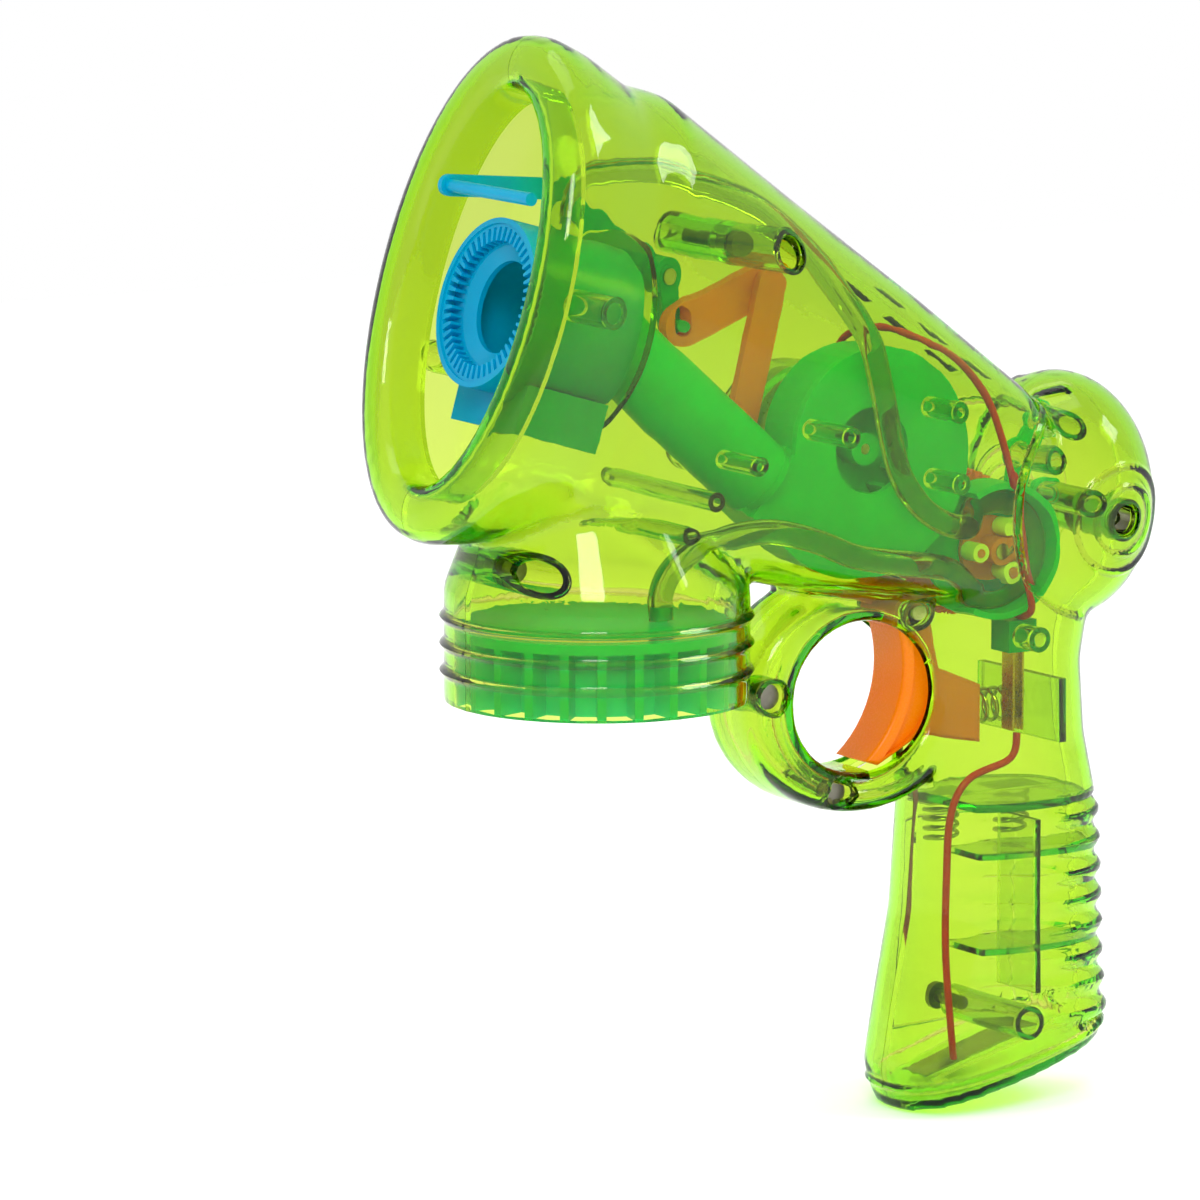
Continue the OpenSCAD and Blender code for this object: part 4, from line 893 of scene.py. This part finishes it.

# %% [markdown]
# Two red wires join the battery, the switch and the motor. They are plain round sweeps, with bends such as
# real ones are given by hand, and lie along the wall where nothing turns.

# %% Wires
WIRE_RADIUS = 0.7
WIRES = {
    "battery_lead": [(-89.2, 5.6, -13.8), (-87.5, 6, -18.5), (-78, 6.5, -21.5), (-74.5, 6, -28), (-73.6, 6, -40),
                     (-73.4, 6, -54), (-75, 5, -66), (-78, 2, -75.6)],
    "motor_lead": [(-56, -10, 55.4), (-57.5, -6, 62), (-60, 1, 64.5), (-65, 8, 62.5), (-71, 11, 58.6),
                   (-77, 12, 51), (-81, 12.4, 41), (-84, 12.4, 30), (-86, 12.4, 18), (-88, 11.6, 11),
                   (-88.4, 8.6, 8.8), (-88.4, 6, 8.9)],
}
for node, route in WIRES.items():
    wire = bmesh.new()
    sweep(wire, smooth_route(route), WIRE_RADIUS, sides=12)
    add_piece(wire, node + "_wire", red_insulation, "case", [node])

# %% [markdown]
# The springs are wound from plated steel wire. The trigger's spring starts from its seat on the grip's plate.

# %% Springs
SPRING_RADIUS, SPRING_WIRE, TURN_STEPS = 3.0, 0.4, 24
SPRING_SEAT, BATTERY_SPRING_Z = Vector((-93.3, 0, -9)), -27.6


def coil_path(start, along, turns, length):
    """A helix from a point along an axis, set in by the wire's radius at both ends."""
    first = along.orthogonal().normalized()
    second = along.cross(first)
    path = []
    for i in range(turns * TURN_STEPS + 1):
        t = i / (turns * TURN_STEPS)
        rise = SPRING_WIRE + (length - 2 * SPRING_WIRE) * t
        turn = math.tau * turns * t
        path.append(start + along * rise
                    + (first * math.cos(turn) + second * math.sin(turn)) * SPRING_RADIUS)
    return path


spring = bmesh.new()
sweep(spring, coil_path(SPRING_SEAT, X, turns=5, length=11.7), SPRING_WIRE, sides=10)
trigger_coil = add_piece(spring, "trigger_coil", bright_steel, "case", ["trigger_spring"])
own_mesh(trigger_coil)
springs = bmesh.new()
for cell in CELLS:
    sweep(springs, coil_path(Vector((cell.x, cell.y, BATTERY_SPRING_Z)), -Z, turns=4, length=8.0), SPRING_WIRE,
          sides=10)
add_piece(springs, "battery_coils", bright_steel, "case", ["battery_springs"])

# %% [markdown]
# Flat mouldings start as an outline that is given a thickness, and a hollow is cut from them with a Boolean,
# which suits these closed solids.

# %% Flat mouldings
def prism(points, low, high):
    """A mesh with an outline in the middle plane and flat sides at two places along Y."""
    bm = bmesh.new()
    bm.faces.new([bm.verts.new(p + Y * low) for p in points])
    grown = bmesh.ops.extrude_face_region(bm, geom=bm.faces[:])["geom"]
    bmesh.ops.translate(bm, vec=Y * (high - low), verts=[e for e in grown if isinstance(e, bmesh.types.BMVert)])
    bmesh.ops.recalc_face_normals(bm, faces=bm.faces)
    return bm


def cut_away(bm, tool):
    """The mesh without the part of it that is inside the tool."""
    holders = []
    for part in (bm, tool):
        mesh = bpy.data.meshes.new("part")
        part.to_mesh(mesh)
        part.free()
        holders.append(bpy.data.objects.new("part", mesh))
        bpy.context.scene.collection.objects.link(holders[-1])
    cut = holders[0].modifiers.new("cut", "BOOLEAN")
    cut.operation = "DIFFERENCE"
    cut.solver = "EXACT"
    cut.object = holders[1]
    left = bmesh.new()
    left.from_object(holders[0], bpy.context.evaluated_depsgraph_get())
    for holder in holders:
        bpy.data.objects.remove(holder)
    return left


# %% [markdown]
# The trigger is one orange moulding: a curved face for the finger, an eye on the pivot pin, a tail that
# presses the spring, and an arm with a peg for the lever inside. Its outline is extruded and its rims
# are rounded. A shallow hollow, pointed at both ends, is cut in each cheek beside the finger's curve.

# %% Trigger blade
TRIGGER_HALF, RIM_ROUND, HOLLOW_DEPTH = 5.5, 1.0, 1.2
FINGER_MIDDLE, FINGER_RADIUS = Vector((-42, 0, 1)), 22.0
FINGER_FROM, FINGER_TO, FINGER_STEPS = 150.9, 232.0, 14
TRIGGER_BACK = [  # x and z, from the finger's curve round the tail and up to the eye
    (-58.5, -17.4), (-68, -12.5), (-81.5, -15), (-81.5, -4), (-72, 0), (-68.5, 13.5), (-62, 13.5),
]


def finger_arc(first, last, out=0.0, belly=0.0):
    """Points of an arc round the finger between two angles in degrees, farther out in the middle by belly."""
    parts = [i / FINGER_STEPS for i in range(FINGER_STEPS + 1)]
    turns = [(math.radians(first + (last - first) * t), FINGER_RADIUS + out + belly * math.sin(math.pi * t))
             for t in parts]
    return [FINGER_MIDDLE + radius * Vector((math.cos(turn), 0, math.sin(turn))) for turn, radius in turns]


blade = finger_arc(FINGER_FROM, FINGER_TO) + [Vector((x, 0, z)) for x, z in TRIGGER_BACK]
trigger = prism(blade, -TRIGGER_HALF, TRIGGER_HALF)
rims = dict.fromkeys(e for f in trigger.faces if abs(f.normal.y) > 0.9 for e in f.edges)
bmesh.ops.bevel(trigger, geom=list(rims), offset=RIM_ROUND, offset_type="OFFSET", segments=4, profile=0.5,
                affect="EDGES", material=-1, clamp_overlap=True)
cheek_hollow = finger_arc(160, 224, out=2.2) + finger_arc(223, 161, out=2.4, belly=4.6)
for side in (-1, 1):
    cutter = prism(cheek_hollow, side * (TRIGGER_HALF - HOLLOW_DEPTH), side * (TRIGGER_HALF + 2))
    trigger = cut_away(trigger, cutter)
print("trigger blade:", len(trigger.faces), "faces")

# %% [markdown]
# The eye is a tube round the pivot pin, the arm is the hull of two short cylinders, and the peg is a third.
# They overlap the blade without being welded to it, which doesn't show, because the orange isn't clear.

# %% Trigger eye, arm and peg
EYE_RADIUS, EYE_BORE = 4.2, 1.55
ARM_RADIUS, ARM_SIDES, ARM_LIFT = 1.8, (-4.4, -2.3), Vector((-0.4, 0, 0.7))
TRIGGER_PEG, PEG_RADIUS, PEG_END = Vector((-50.2, 0, 20.4)), 1.1, -6.7
turn_post(trigger, TRIGGER_PIVOT.x, TRIGGER_PIVOT.z, [
    (EYE_BORE, -TRIGGER_HALF), (EYE_RADIUS, -TRIGGER_HALF), (EYE_RADIUS, TRIGGER_HALF), (EYE_BORE, TRIGGER_HALF)])
arm = dict.fromkeys(
    v for end in (TRIGGER_PIVOT + ARM_LIFT, TRIGGER_PEG + ARM_LIFT) for y in ARM_SIDES
    for edge in oval_ring(trigger, end + Y * y, X, Z, ARM_RADIUS, ARM_RADIUS, sides=24) for v in edge.verts)
bmesh.ops.convex_hull(trigger, input=list(arm))
turn_post(trigger, TRIGGER_PEG.x, TRIGGER_PEG.z, [(PEG_RADIUS, PEG_END), (PEG_RADIUS, ARM_SIDES[1])], hollow=False)
bmesh.ops.recalc_face_normals(trigger, faces=trigger.faces)
add_piece(trigger, "finger_trigger", orange_abs, "trigger_body", ["trigger"], sharp=30)
